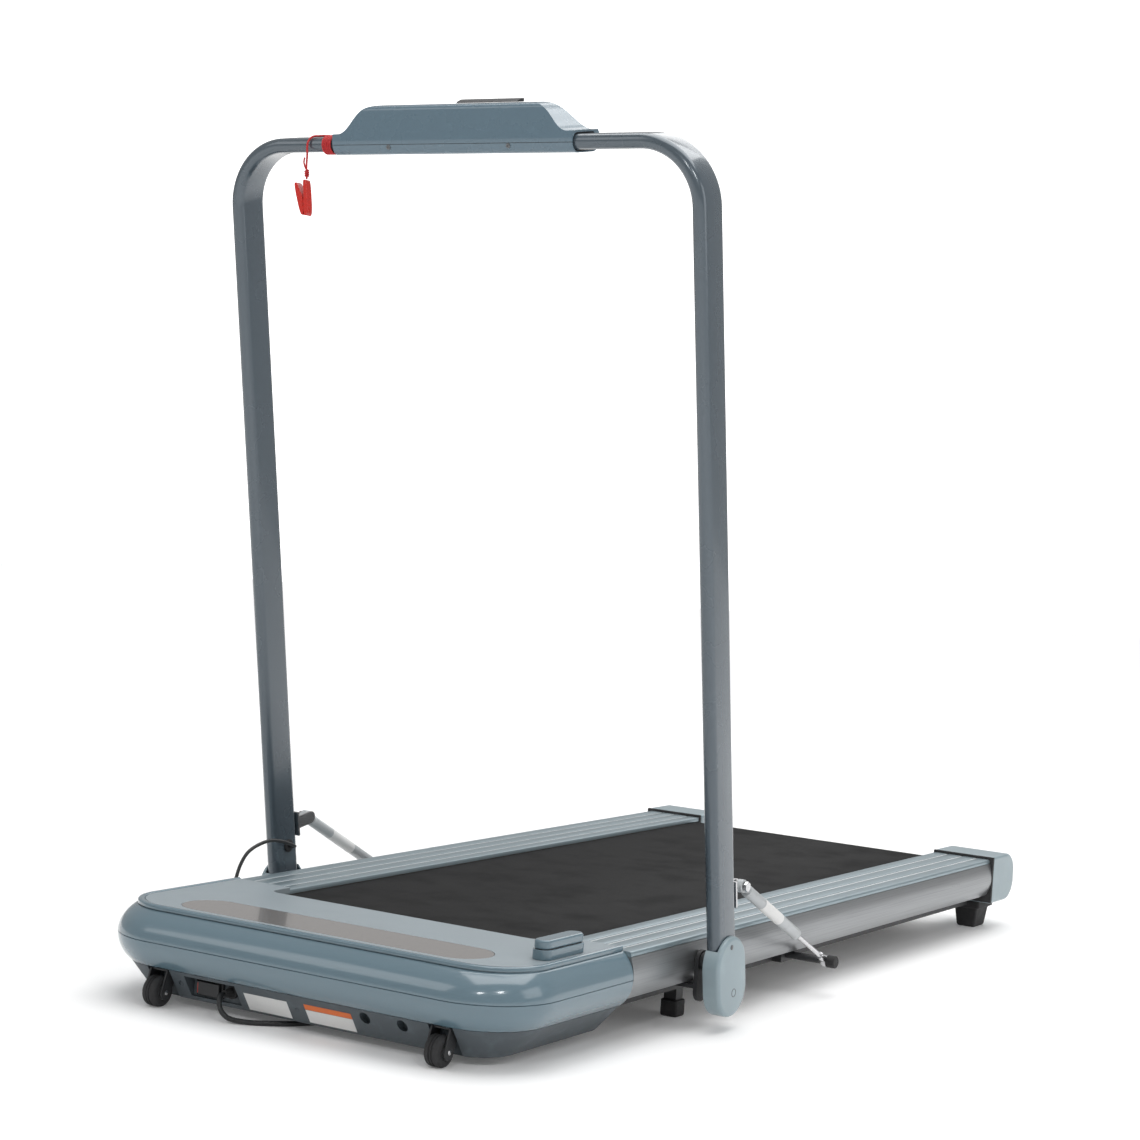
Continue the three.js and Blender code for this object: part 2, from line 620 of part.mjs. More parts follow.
for (const side of [-1, 1]) {
  for (const y of [-380, 60, 480]) {
    const xs = [side * (CHASSIS_INNER_X - 14), side * (CHASSIS_INNER_X + 8)].sort((a, b) => a - b);
    standoffs.push(block(xs[0], xs[1], y - 30, y + 30, CHASSIS_TOP_Z - 12, BOARD_BOTTOM_Z - GAP));
  }
  const stemX = side * (CHASSIS_INNER_X + CHASSIS_TUBE_W / 2);
  stems.push(block(
    stemX - FOOT_STEM_SIZE / 2,
    stemX + FOOT_STEM_SIZE / 2,
    FRONT_FOOT_Y - FOOT_STEM_SIZE / 2,
    FRONT_FOOT_Y + FOOT_STEM_SIZE / 2,
    FRONT_FOOT_H - 4,
    CHASSIS_BOTTOM_Z + 1,
  ));
  const from = side * (CHASSIS_OUTER_X - 1);
  const to = side * STUD_END_X;
  springStuds.push(rod('x', 5, Math.min(from, to), Math.max(from, to), SPRING_LOW_Y, SPRING_LOW_Z, 14));
  const lug = block(
    Math.min(from, side * (CHASSIS_OUTER_X + 12)),
    Math.max(from, side * (CHASSIS_OUTER_X + 12)),
    SPRING_LOW_Y - 16,
    SPRING_LOW_Y + 16,
    CHASSIS_BOTTOM_Z,
    SIDE_PANEL_BOTTOM_Z - 2,
  );
  springStuds.push(lug);
}
const frame = join(longTube(1), longTube(-1), ...crossMembers, mountPlate, ...standoffs, ...stems, ...springStuds);
place('chassis_frame', frame, FRAME_BLACK);

const DECK_FRONT_Y = FRONT_ROLLER_Y + ROLLER_R + 6;
const DECK_REAR_Y = REAR_ROLLER_Y - ROLLER_R - 6;
const boardHalf = DECK_BOARD_WIDTH / 2;
place('deck_board', block(-boardHalf, boardHalf, DECK_FRONT_Y, DECK_REAR_Y, BOARD_BOTTOM_Z, BOARD_TOP_Z), DECK_WOOD);

// rollers and the running belt
function rollerSolid(y, extras = []) {
  const drum = rod('x', ROLLER_R, -ROLLER_LENGTH / 2, ROLLER_LENGTH / 2, y, ROLLER_Z, 24);
  const shaft = rod('x', ROLLER_SHAFT_R, -ROLLER_SHAFT_LENGTH / 2, ROLLER_SHAFT_LENGTH / 2, y, ROLLER_Z, 12);
  return join(drum, shaft, ...extras);
}
const DRIVE_X0 = 213;
const DRIVE_X1 = 228;
const ROLLER_PULLEY_R = 21;
const MOTOR_PULLEY_R = 11;
const MOTOR_Y = FRONT_Y + 100;
const MOTOR_Z = 73;
const MOTOR_R = 30;
const MOTOR_X0 = 60;
const MOTOR_X1 = 188;
const FLYWHEEL_R = 27;
const FLYWHEEL_X0 = 191;
const FLYWHEEL_X1 = 209;
const rollerPulley = rod('x', ROLLER_PULLEY_R, DRIVE_X0, DRIVE_X1, FRONT_ROLLER_Y, ROLLER_Z, 24);
place('front_roller', rollerSolid(FRONT_ROLLER_Y, [rollerPulley]), STEEL);
place('rear_roller', rollerSolid(REAR_ROLLER_Y), STEEL);
const frontHub = V2(FRONT_ROLLER_Y, ROLLER_Z);
const rearHub = V2(REAR_ROLLER_Y, ROLLER_Z);
const beltHalf = BELT_WIDTH / 2;
place('running_belt', beltSolid(frontHub, ROLLER_R, rearHub, ROLLER_R, BELT_THICK, -beltHalf, beltHalf, 12), BELT_BLACK);

// motor, its pulley with the flywheel beside it, the drive belt and the controller
const motorCan = rod('x', MOTOR_R, MOTOR_X0, MOTOR_X1, MOTOR_Y, MOTOR_Z, 24);
const MOUNT_TOP = MOUNT_PLATE_Z + GAP;
const motorFoot = block(MOTOR_X0 + 20, MOTOR_X1 - 20, MOTOR_Y - 26, MOTOR_Y + 26, MOUNT_TOP, MOTOR_Z - 12);
place('motor', cut(join(motorCan, motorFoot), rod('x', 4 + GAP, MOTOR_X1 - 12, MOTOR_X1 + 1, MOTOR_Y, MOTOR_Z, 12)), STEEL);
const motorPulley = join(
  rod('x', MOTOR_PULLEY_R, DRIVE_X0, DRIVE_X1, MOTOR_Y, MOTOR_Z, 20),
  rod('x', FLYWHEEL_R, FLYWHEEL_X0, FLYWHEEL_X1, MOTOR_Y, MOTOR_Z, 28),
  rod('x', 4, MOTOR_X1 - 10, DRIVE_X1 + 2, MOTOR_Y, MOTOR_Z, 12),
);
place('motor_pulley', motorPulley, STEEL);
const motorHub = V2(MOTOR_Y, MOTOR_Z);
const driveBelt = beltSolid(motorHub, MOTOR_PULLEY_R, frontHub, ROLLER_PULLEY_R, 1.6, DRIVE_X0 + 2, DRIVE_X1 - 2, 10);
place('drive_belt', driveBelt, RUBBER_BLACK);
const finCuts = [];
for (let i = 0; i < 5; i++) {
  finCuts.push(block(-205 + i * 26, -191 + i * 26, MOTOR_Y - 60, MOTOR_Y + 60, MOUNT_TOP + 20, MOUNT_TOP + 40));
}
const controller = cut(block(-214, -76, MOTOR_Y - 27, MOTOR_Y + 45, MOUNT_TOP, MOUNT_TOP + 30), ...finCuts);
place('motor_controller', controller, STEEL);

// ---------------------------------------------------------------- foot rails, side panels, end caps
const RAIL_FRONT_Y = HOOD_REAR_Y + 0.6;
const RAIL_REAR_Y = CAP_FRONT_Y - GAP;
const railShape = new THREE.Shape();
railShape.moveTo(RAIL_INNER_X, RAIL_TOP_Z - RAIL_THICK);
railShape.lineTo(RAIL_OUTER_X - 1, RAIL_TOP_Z - RAIL_THICK);
railShape.lineTo(RAIL_OUTER_X, RAIL_TOP_Z - RAIL_THICK + 1);
railShape.lineTo(RAIL_OUTER_X, RAIL_TOP_Z - 3);
railShape.absarc(RAIL_OUTER_X - 3, RAIL_TOP_Z - 3, 3, 0, Math.PI / 2);
const railMiddle = (RAIL_INNER_X + RAIL_OUTER_X) / 2;
for (let i = RAIL_GROOVES - 1; i >= 0; i--) {
  const centre = railMiddle + (i - (RAIL_GROOVES - 1) / 2) * RAIL_GROOVE_PITCH;
  railShape.lineTo(centre + RAIL_GROOVE_WIDTH / 2, RAIL_TOP_Z);
  railShape.lineTo(centre, RAIL_TOP_Z - RAIL_GROOVE_DEPTH);
  railShape.lineTo(centre - RAIL_GROOVE_WIDTH / 2, RAIL_TOP_Z);
}
railShape.lineTo(RAIL_INNER_X + 1.5, RAIL_TOP_Z);
railShape.lineTo(RAIL_INNER_X, RAIL_TOP_Z - 1.5);
railShape.closePath();
placePair('foot_rail', prismY(railShape, RAIL_FRONT_Y, RAIL_REAR_Y, 3), RAIL_BLUE);

const PANEL_TOP = RAIL_TOP_Z - RAIL_THICK - GAP;
const sideBow = (inset) => {
  const points = [];
  const low = SIDE_PANEL_BOTTOM_Z + inset;
  const high = PANEL_TOP - inset;
  for (let i = 0; i <= 8; i++) {
    const t = (i / 8) * 2 - 1;
    const x = RAIL_OUTER_X - inset + SIDE_PANEL_BULGE * (1 - t * t) - (t < 0 ? 4 * t * t : 0);
    points.push(V2(x, (low + high) / 2 + ((high - low) / 2) * t));
  }
  return points;
};
const flangeX = CHASSIS_OUTER_X + 3;
const sideShape = new THREE.Shape([
  V2(flangeX, SIDE_PANEL_BOTTOM_Z),
  ...sideBow(0),
  V2(flangeX, PANEL_TOP),
  V2(flangeX, PANEL_TOP - SIDE_PANEL_WALL),
  ...sideBow(SIDE_PANEL_WALL).reverse(),
  V2(flangeX, SIDE_PANEL_BOTTOM_Z + SIDE_PANEL_WALL),
]);
placePair('side_panel', prismY(sideShape, RAIL_FRONT_Y, RAIL_REAR_Y, 4), SIDE_SILVER);

const capShape = (inset) => {
  const shape = new THREE.Shape();
  const top = CAP_TOP_Z - inset;
  const bottom = CAP_BOTTOM_Z + inset;
  const back = REAR_Y - inset;
  const r = CAP_BACK_R - inset;
  const front = inset > 0 ? CAP_FRONT_Y - 5 : CAP_FRONT_Y;
  shape.moveTo(front, bottom);
  shape.lineTo(back - r - 12, bottom);
  shape.absarc(back - r, bottom + r, r, -Math.PI / 2, 0);
  shape.absarc(back - r, top - r, r, 0, Math.PI / 2);
  shape.lineTo(front, top);
  shape.closePath();
  return shape;
};
const capOuterX = RAIL_OUTER_X + CAP_PROUD;
const capInnerX = RAIL_INNER_X - 2;
const endCap = cut(
  prismX(capShape(0), capInnerX, capOuterX, 7),
  prismX(capShape(CAP_WALL), capInnerX + CAP_WALL, capOuterX - CAP_WALL, 5),
);
placePair('end_cap', endCap, RAIL_BLUE);

// rubber feet
const footTop = CAP_BOTTOM_Z - GAP;
const footX = (capInnerX + capOuterX) / 2 + 4;
const footRing = (z, inset) => {
  const half = REAR_FOOT_WIDTH / 2 - inset;
  const y0 = CAP_FRONT_Y + 3 + inset;
  const y1 = CAP_FRONT_Y + 3 + REAR_FOOT_LENGTH - inset;
  return [V3(footX - half, y0, z), V3(footX + half, y0, z), V3(footX + half, y1, z), V3(footX - half, y1, z)];
};
placePair('rear_foot', loft([footRing(0, 10), footRing(3, 8), footRing(footTop - 14, 5), footRing(footTop, 0)]), RUBBER_BLACK);
const padX = CHASSIS_INNER_X + CHASSIS_TUBE_W / 2;
const padHalf = FRONT_FOOT_SIZE / 2;
const pad = cut(
  block(padX - padHalf, padX + padHalf, FRONT_FOOT_Y - padHalf, FRONT_FOOT_Y + padHalf, 0, FRONT_FOOT_H),
  block(
    padX - FOOT_STEM_SIZE / 2 - GAP,
    padX + FOOT_STEM_SIZE / 2 + GAP,
    FRONT_FOOT_Y - FOOT_STEM_SIZE / 2 - GAP,
    FRONT_FOOT_Y + FOOT_STEM_SIZE / 2 + GAP,
    FRONT_FOOT_H - 4 - GAP,
    FRONT_FOOT_H + 5,
  ),
);
placePair('front_foot', pad, RUBBER_BLACK);

// hinge brackets: a plate outside the side panel, a foot under it and the pivot pin
const plateX0 = RAIL_OUTER_X + SIDE_PANEL_BULGE + 1;
const plateX1 = plateX0 + HINGE_PLATE;
const PLATE_HALF = 13;
const platePieces = join(
  prismX(stadium(PLATE_HALF, PIVOT_Z - SIDE_PANEL_BOTTOM_Z + 10, PIVOT_Y, PIVOT_Z), plateX0, plateX1, 10),
  block(CHASSIS_OUTER_X + GAP, plateX1 - 0.5, PIVOT_Y - PLATE_HALF + 2, PIVOT_Y + PLATE_HALF - 2, SIDE_PANEL_BOTTOM_Z - 7, SIDE_PANEL_BOTTOM_Z - 2),
  rod('x', PIN_R, plateX1 - 1, COVER_OUTER_X - COVER_WALL - 1.5, PIVOT_Y, PIVOT_Z, 20),
  rod('x', PIN_R + 4, plateX1 - 1, TUBE_X - TUBE_THICK / 2 - 1.5, PIVOT_Y, PIVOT_Z, 20),
);
placePair('hinge_bracket', platePieces, FRAME_BLACK);

// ---------------------------------------------------------------- folding handle
// flat-oval section in the plane across the tube; u runs fore and aft
function ovalSection(depth, thick, arcSteps) {
  const r = thick / 2;
  const reach = depth / 2 - r;
  const points = [];
  for (let i = 0; i <= arcSteps; i++) {
    const t = -Math.PI / 2 + (i / arcSteps) * Math.PI;
    points.push(V2(reach + r * Math.cos(t), r * Math.sin(t)));
  }
  for (let i = 0; i <= arcSteps; i++) {
    const t = Math.PI / 2 + (i / arcSteps) * Math.PI;
    points.push(V2(-reach + r * Math.cos(t), r * Math.sin(t)));
  }
  return points;
}

// stations of the U: place and direction, in the handle's own XZ plane
function handleStations(extend) {
  const stations = [{ x: -TUBE_X, z: -TUBE_FOOT - extend, angle: Math.PI / 2 }];
  const bendSteps = 7;
  for (let i = 0; i <= bendSteps; i++) {
    const t = (i / bendSteps) * (Math.PI / 2);
    const x = -TUBE_X + BEND_R * (1 - Math.cos(t));
    stations.push({ x, z: CROSSBAR_H - BEND_R + BEND_R * Math.sin(t), angle: Math.PI / 2 - t });
  }
  const mirrored = stations.map(({ x, z, angle }) => ({ x: -x, z, angle: -angle })).reverse();
  return [...stations, ...mirrored];
}

function sweepHandle(depth, thick, arcSteps, extend) {
  const section = ovalSection(depth, thick, arcSteps);
  return loft(handleStations(extend).map(({ x, z, angle }) => section.map(
    (p) => V3(x - p.y * Math.sin(angle), p.x, z + p.y * Math.cos(angle)),
  )));
}
const pivotBore = rod('x', PIN_R + GAP, -TUBE_X - 40, TUBE_X + 40, 0, 0, 20);
const GROMMET_Z = 56;
const GROMMET_Y = 3;
const GROMMET_R = 6;
const grommetBore = rod('x', GROMMET_R + GAP, -TUBE_X, -TUBE_X + 40, GROMMET_Y, GROMMET_Z, 16);
const uTube = cut(
  sweepHandle(TUBE_DEPTH, TUBE_THICK, 5, 0),
  sweepHandle(TUBE_DEPTH - 2 * TUBE_WALL, TUBE_THICK - 2 * TUBE_WALL, 3, 10),
  pivotBore,
  grommetBore,
);
place('handle_tube', uTube, TUBE_PAINT, handle);
const grommet = cut(
  join(
    rod('x', GROMMET_R, -TUBE_X + TUBE_THICK / 2 - TUBE_WALL - 1.5, -TUBE_X + TUBE_THICK / 2 + 0.8, GROMMET_Y, GROMMET_Z, 16),
    rod('x', GROMMET_R + 2.5, -TUBE_X + TUBE_THICK / 2 + GAP, -TUBE_X + TUBE_THICK / 2 + 3, GROMMET_Y, GROMMET_Z, 16),
  ),
  rod('x', SIGNAL_D / 2 + GAP, -TUBE_X, -TUBE_X + 40, GROMMET_Y, GROMMET_Z, 12),
);
place('cable_grommet', grommet, RUBBER_BLACK, handle);

// pivot covers: cups over the ends of the U
const coverSkin = join(
  prismX(stadium(COVER_R, COVER_DROP), COVER_INNER_X, COVER_OUTER_X - 2.5, 10),
  prismX(stadium(COVER_R - 2.5, COVER_DROP), COVER_INNER_X, COVER_OUTER_X, 10),
);
const coverHollow = prismX(stadium(COVER_R - COVER_WALL, COVER_DROP), COVER_INNER_X - 5, COVER_OUTER_X - COVER_WALL, 10);
const tubeSlot = block(
  COVER_INNER_X - 10,
  TUBE_X + TUBE_THICK / 2 + GAP,
  -TUBE_DEPTH / 2 - GAP,
  TUBE_DEPTH / 2 + GAP,
  0,
  COVER_R + 10,
);
placePair('pivot_cover', cut(coverSkin, coverHollow, tubeSlot), RAIL_BLUE, handle);

// gas springs: bracket on the upright, cylinder, rod
const bracketReach = TUBE_DEPTH / 2 + GAP;
const armX0 = SPRING_X - EYE_THICK / 2 - 4;
const armX1 = SPRING_X - EYE_THICK / 2 - 1;
const springBracket = join(
  block(armX0, SPRING_X + 8, bracketReach, bracketReach + 3, SPRING_UP_Z - 18, SPRING_UP_Z + 14),
  block(armX0, armX1, bracketReach, SPRING_UP_Y, SPRING_UP_Z - 8, SPRING_UP_Z + 8),
  rod('x', 8, armX0, armX1, SPRING_UP_Y, SPRING_UP_Z, 16),
  rod('x', SPRING_PIN_R, armX0, SPRING_X + EYE_THICK / 2 + 2, SPRING_UP_Y, SPRING_UP_Z, 14),
);
placePair('spring_bracket', springBracket, CHROME, handle);

// the spring's own frame: Y along it from the upper eye to the lower one
const lean = { c: Math.cos(HANDLE_LEAN), s: Math.sin(HANDLE_LEAN) };
const springTopY = PIVOT_Y + SPRING_UP_Y * lean.c - SPRING_UP_Z * lean.s;
const springTopZ = PIVOT_Z + SPRING_UP_Y * lean.s + SPRING_UP_Z * lean.c;
const springLength = Math.hypot(SPRING_LOW_Y - springTopY, SPRING_LOW_Z - springTopZ);
const springPitch = Math.atan2(SPRING_LOW_Z - springTopZ, SPRING_LOW_Y - springTopY);
const eyeSolid = (y, neckTo) => cut(
  join(
    rod('x', EYE_R, -EYE_THICK / 2, EYE_THICK / 2, y, 0, 18),
    rod('y', 4.5, Math.min(y, neckTo), Math.max(y, neckTo), 0, 0, 12),
  ),
  rod('x', SPRING_PIN_R + GAP, -EYE_THICK, EYE_THICK, y, 0, 14),
);
const cylinderEnd = CYLINDER_START + CYLINDER_LENGTH;
const cylinder = cut(
  join(eyeSolid(0, CYLINDER_START + 2), rod('y', CYLINDER_R, CYLINDER_START, cylinderEnd, 0, 0, 18)),
  rod('y', ROD_R + 2 * GAP, CYLINDER_START + 8, cylinderEnd + 5, 0, 0, 14),
);
const ROD_INSIDE = 60;
const springRod = join(
  rod('y', ROD_R, cylinderEnd - ROD_INSIDE, springLength - 6, 0, 0, 12),
  rod('x', EYE_R - 1, -EYE_THICK / 2, EYE_THICK / 2, springLength, 0, 18),
  rod('y', 4.5, springLength - 22, springLength, 0, 0, 12),
);
for (const side of [-1, 1]) {
  const word = side > 0 ? 'right' : 'left';
  const spring = new THREE.Group();
  spring.position.set(side * SPRING_X, springTopY, springTopZ);
  spring.rotation.x = springPitch;
  treadmill.add(spring);
  place(`gas_cylinder_${word}`, cylinder, SPRING_GREY, spring);
  const capFrom = side > 0 ? EYE_THICK / 2 - 1 : -EYE_THICK / 2 - ROD_CAP_LENGTH;
  const cap = rod('x', EYE_R, capFrom, capFrom + ROD_CAP_LENGTH + 1, springLength, 0, 18);
  place(`gas_rod_${word}`, join(springRod, cap), CHROME, spring);
}

// ---------------------------------------------------------------- console on the crossbar
const consoleGroup = new THREE.Group();
consoleGroup.position.set(0, 0, CROSSBAR_H);
handle.add(consoleGroup);

// front outline: flat bottom, shoulders rising in an S to the top
function consoleFront(inset) {
  const half = CONSOLE_HALF - inset;
  const top = CONSOLE_TOP - inset;
  const low = CONSOLE_END_TOP - inset;
  const shape = new THREE.Shape();
  shape.moveTo(-half, CONSOLE_BOTTOM + inset);
  shape.lineTo(half, CONSOLE_BOTTOM + inset);
  shape.lineTo(half, low);
  shape.lineTo(SHOULDER_OUT - inset, low);
  const mid = (SHOULDER_IN + SHOULDER_OUT) / 2;
  shape.bezierCurveTo(mid + 6, low + 2, mid + 4, top - 1, SHOULDER_IN - inset, top);
  shape.lineTo(-SHOULDER_IN + inset, top);
  shape.bezierCurveTo(-mid - 4, top - 1, -mid - 6, low + 2, -SHOULDER_OUT + inset, low);
  shape.lineTo(-half, low);
  shape.closePath();
  return shape;
}

// side outline: round under the tube, upright front, display face sloping to the back
const FACE_TOP = V2(8, CONSOLE_TOP);
const FACE_BOTTOM = V2(CONSOLE_BACK, 6);
function consoleSide(inset) {
  const front = CONSOLE_FRONT + inset;
  const bottom = CONSOLE_BOTTOM + inset;
  const shape = new THREE.Shape();
  shape.moveTo(front + 9, bottom);
  shape.lineTo(TUBE_DEPTH / 2 - 6, bottom);
  shape.quadraticCurveTo(CONSOLE_BACK - inset - 2, bottom + 1, FACE_BOTTOM.x - inset, FACE_BOTTOM.y - 2);
  shape.lineTo(FACE_BOTTOM.x - inset, FACE_BOTTOM.y);
  shape.lineTo(FACE_TOP.x, FACE_TOP.y - inset);
  shape.quadraticCurveTo(front + 6, CONSOLE_TOP - inset, front + 5, CONSOLE_TOP - 6 - inset);
  shape.lineTo(front, 6);
  shape.quadraticCurveTo(front, bottom, front + 9, bottom);
  return shape;
}
const consoleBlank = (inset) => prismX(consoleSide(inset), -CONSOLE_HALF, CONSOLE_HALF, 5)
  .intersect(prismY(consoleFront(inset), CONSOLE_FRONT - 5, CONSOLE_BACK + 10, 8));

// frame of the display face: origin on the face, third axis out of it
const faceRun = FACE_TOP.clone().sub(FACE_BOTTOM).normalize();
const faceMiddle = FACE_TOP.clone().add(FACE_BOTTOM).multiplyScalar(0.5);
const faceGroup = new THREE.Group();
faceGroup.position.set(0, faceMiddle.x, faceMiddle.y);
faceGroup.rotation.x = Math.atan2(faceRun.y, faceRun.x);
consoleGroup.add(faceGroup);
const faceTurn = THREE.MathUtils.radToDeg(faceGroup.rotation.x);
const toConsole = (solid) => solid.rotate([faceTurn, 0, 0]).translate([0, faceMiddle.x, faceMiddle.y]);
// the face frame's Z points into the shell, so face pieces lie at small negative Z outside it

const KEY_SIZE = { start: { x: 82, w: 22, h: 16 }, speed: { x: -84, w: 20, h: 26 } };
const keySolid = ({ x, w, h }, grow, z0, z1) => prismZ(
  roundedRect(x - w / 2 - grow, x + w / 2 + grow, -h / 2 - grow, h / 2 + grow, 4),
  z0,
  z1,
  4,
);
const displaySolid = (grow, z0, z1) => prismZ(
  roundedRect(-DISPLAY_LENGTH / 2 - grow, DISPLAY_LENGTH / 2 + grow, -DISPLAY_WIDTH / 2 - grow, DISPLAY_WIDTH / 2 + grow, 4),
  z0,
  z1,
  4,
);
const SAFETY_X = -118;
const SAFETY_R = 8;
const DISPLAY_PROUD = 0.6;
const displayPocket = toConsole(displaySolid(GAP, -2, DISPLAY_THICK - DISPLAY_PROUD + GAP));
const keyHoles = Object.values(KEY_SIZE).map((key) => toConsole(keySolid(key, 0.6, -2, 12)));
const KEY_STEM_R = 4;
keyHoles.push(toConsole(rod('z', KEY_STEM_R + GAP, -5, 10, SAFETY_X, 0, 16)));
const tubeGap = new THREE.Shape(ovalSection(TUBE_DEPTH + 2 * GAP, TUBE_THICK + 2 * GAP, 5));
const crossbarSpace = prismX(tubeGap, -CONSOLE_HALF - 5, CONSOLE_HALF + 5, 6);
const consoleBody = cut(consoleBlank(0), crossbarSpace);
const hollowShape = consoleBlank(CONSOLE_WALL + 3.2);
const hollowHeart = hollowShape.intersect(block(-SHOULDER_IN - 10, SHOULDER_IN + 10, -60, 80, TUBE_THICK / 2 + 3, 80));
const upperHalf = block(-300, 300, -100, 100, PART_LINE / 2, 100);
const lowerHalf = block(-300, 300, -100, 100, -100, -PART_LINE / 2);
const consoleUpper = cut(consoleBody.intersect(upperHalf), hollowHeart, displayPocket, ...keyHoles);
place('console_upper', consoleUpper, CONSOLE_BLUE, consoleGroup);
place('console_lower', consoleBody.intersect(lowerHalf), CONSOLE_BLUE, consoleGroup);
place('console_display', displaySolid(0, -DISPLAY_PROUD, DISPLAY_THICK - DISPLAY_PROUD), PLASTIC_BLACK, faceGroup);
place('start_key', keySolid(KEY_SIZE.start, 0, -2.4, 4), RED, faceGroup);
place('speed_key', keySolid(KEY_SIZE.speed, 0, -2.4, 4), PLASTIC_BLACK, faceGroup);
const REST_LENGTH = 86;
const REST_X = 42;
const restShape = new THREE.Shape([V2(-10, GAP), V2(7, GAP), V2(8, 4), V2(6, 4.6), V2(1, 4.4), V2(-6, 2.5)]);
const deviceRest = prismX(restShape, REST_X - REST_LENGTH / 2, REST_X + REST_LENGTH / 2, 3);
place('device_rest', deviceRest.translate([0, 0, CONSOLE_TOP]), PLASTIC_BLACK, consoleGroup);

// pull-out safety key on the display face, left of the display
const safetyKey = join(
  rod('z', SAFETY_R, -7, -GAP, SAFETY_X, 0, 20),
  rod('z', KEY_STEM_R, -1, 3.2, SAFETY_X, 0, 16),
);
place('safety_key', safetyKey, RED, faceGroup);

// ---------------------------------------------------------------- lanyard
// red string wound on the crossbar, one end to the safety key, the other hanging with a clip
const WINDING_OUT = -189;
const WINDING_IN = -CONSOLE_HALF - 2;
const ringOutline = (grow) => ovalSection(TUBE_DEPTH + 2 * grow, TUBE_THICK + 2 * grow, 6);
const windingShape = new THREE.Shape(ringOutline(GAP + 2 * LANYARD_D * 0.9));
windingShape.holes.push(new THREE.Path(ringOutline(GAP)));
place('lanyard_winding', prismX(windingShape, WINDING_OUT, WINDING_IN, 8), RED, consoleGroup);

// points from the crossbar axis: X along the bar, Y to the walker, Z up the handle
const LANYARD_KEY_END = [
  V3(-181, -8, 16.2),
  V3(-172, -2, 19),
  V3(-160, 12, 26),
  V3(-148, 25, 33),
  V3(-134, 34, 38),
  V3(-123, 34.5, 36),
  V3(SAFETY_X - 0.5, 31.6, 32.9),
  V3(SAFETY_X, 28.2, 30.7),
];
const LANYARD_FREE_END = [
  V3(WINDING_OUT - 0.8, -8, 11.6),
  V3(-198, -11, 11.2),
  V3(-205, -19, 11.6),
  V3(-208.5, -25.5, 7.6),
  V3(-209.3, -28.2, 0),
  V3(-209.3, -30, -12),
  V3(-209, -32.4, -26),
  V3(-207.6, -34.9, -40.2),
];
place('lanyard_to_key', cord(LANYARD_KEY_END, LANYARD_D, 22, 8), RED, consoleGroup);
place('lanyard_free_end', cord(LANYARD_FREE_END, LANYARD_D, 24, 8), RED, consoleGroup);

// peg clip at the end of the string, hanging straight down; its own origin is its top
const CLIP_LENGTH = 43;
const CLIP_WIDTH = 11;
const clipGroup = new THREE.Group();
clipGroup.position.set(-207.6, -35.1, -42);
clipGroup.rotation.x = -HANDLE_LEAN;
consoleGroup.add(clipGroup);
const gripShape = new THREE.Shape([
  V2(-2.2, -1),
  V2(-0.5, 1),
  V2(1.8, 0.2),
  V2(5, -16),
  V2(7.6, -CLIP_LENGTH + 5),
  V2(6, -CLIP_LENGTH),
  V2(2.4, -CLIP_LENGTH + 1.5),
  V2(0.6, -CLIP_LENGTH + 12),
  V2(0.2, -20),
]);
const jawShape = new THREE.Shape([
  V2(-15.5, -4),
  V2(-12.5, -2.4),
  V2(-10.6, -4),
  V2(-0.4, -22),
  V2(-0.1, -CLIP_LENGTH + 13),
  V2(1.6, -CLIP_LENGTH + 1.8),
  V2(-0.8, -CLIP_LENGTH + 0.6),
  V2(-5.4, -CLIP_LENGTH + 8),
]);
place('lanyard_clip', prismY(gripShape, -CLIP_WIDTH / 2, CLIP_WIDTH / 2), RED, clipGroup);
place('clip_jaw', prismY(jawShape, -CLIP_WIDTH / 2, CLIP_WIDTH / 2), RED, clipGroup);

// ---------------------------------------------------------------- cables
// control cable: out of the left upright's grommet, over in an arch, down into the hood's side
const SIGNAL_ROUTE = [
  V3(-323, -302.9, 135.7),
  V3(-318, -302.9, 135.7),
  V3(-311.5, -303.6, 136),
  V3(-305.6, -308.5, 137.2),
  V3(-303.5, -317, 140.2),
  V3(-305.5, -337.5, 146.4),
  V3(-307.5, -363, 149),
  V3(-309.5, -399, 139),
  V3(-310, -414, 124),
  V3(-309.5, -426, 100),
  V3(-309, -441, 78),
  V3(-307.8, -457, 66),
  V3(-304.5, -468.5, CABLE_ENTRY.z + 0.4),
  V3(-298, CABLE_ENTRY.y, CABLE_ENTRY.z),
  V3(-288, CABLE_ENTRY.y, CABLE_ENTRY.z),
];
place('signal_cable', cord(SIGNAL_ROUTE, SIGNAL_D, 36, 8), RUBBER_BLACK);

// mains cord: from the gland to the floor, under the hood, to a coil on the floor under the deck
const FLOOR_CORD_Z = MAINS_D / 2 + 0.2;
const coilOuter = COIL_MEAN_R + COIL_SECTION / 2;
const coilSide = coilOuter + GAP + MAINS_D / 2 + 0.2;
const MAINS_ROUTE = [
  V3(GLAND_X, glandBack - GLAND_LENGTH - GAP, GLAND_Z),
  V3(GLAND_X, glandBack - GLAND_LENGTH - 4.9, GLAND_Z - 0.4),
  V3(-102.4, -700, 24.5),
  V3(-98, -703, 15),
  V3(-88, -702, 6.5),
  V3(-70, -694, FLOOR_CORD_Z),
  V3(-46, -679, FLOOR_CORD_Z),
  V3(-25, -658, FLOOR_CORD_Z),
  V3(-8, -628, FLOOR_CORD_Z),
  V3(6, -587, FLOOR_CORD_Z),
  V3(18, -535, FLOOR_CORD_Z),
  V3(30, -485, FLOOR_CORD_Z),
  V3(COIL_CENTRE.x + coilSide, -440, FLOOR_CORD_Z),
  V3(COIL_CENTRE.x + coilSide, COIL_CENTRE.y, FLOOR_CORD_Z),
];
place('mains_cord', cord(MAINS_ROUTE, MAINS_D, 46, 8), PLASTIC_BLACK);
const coilProfile = [];
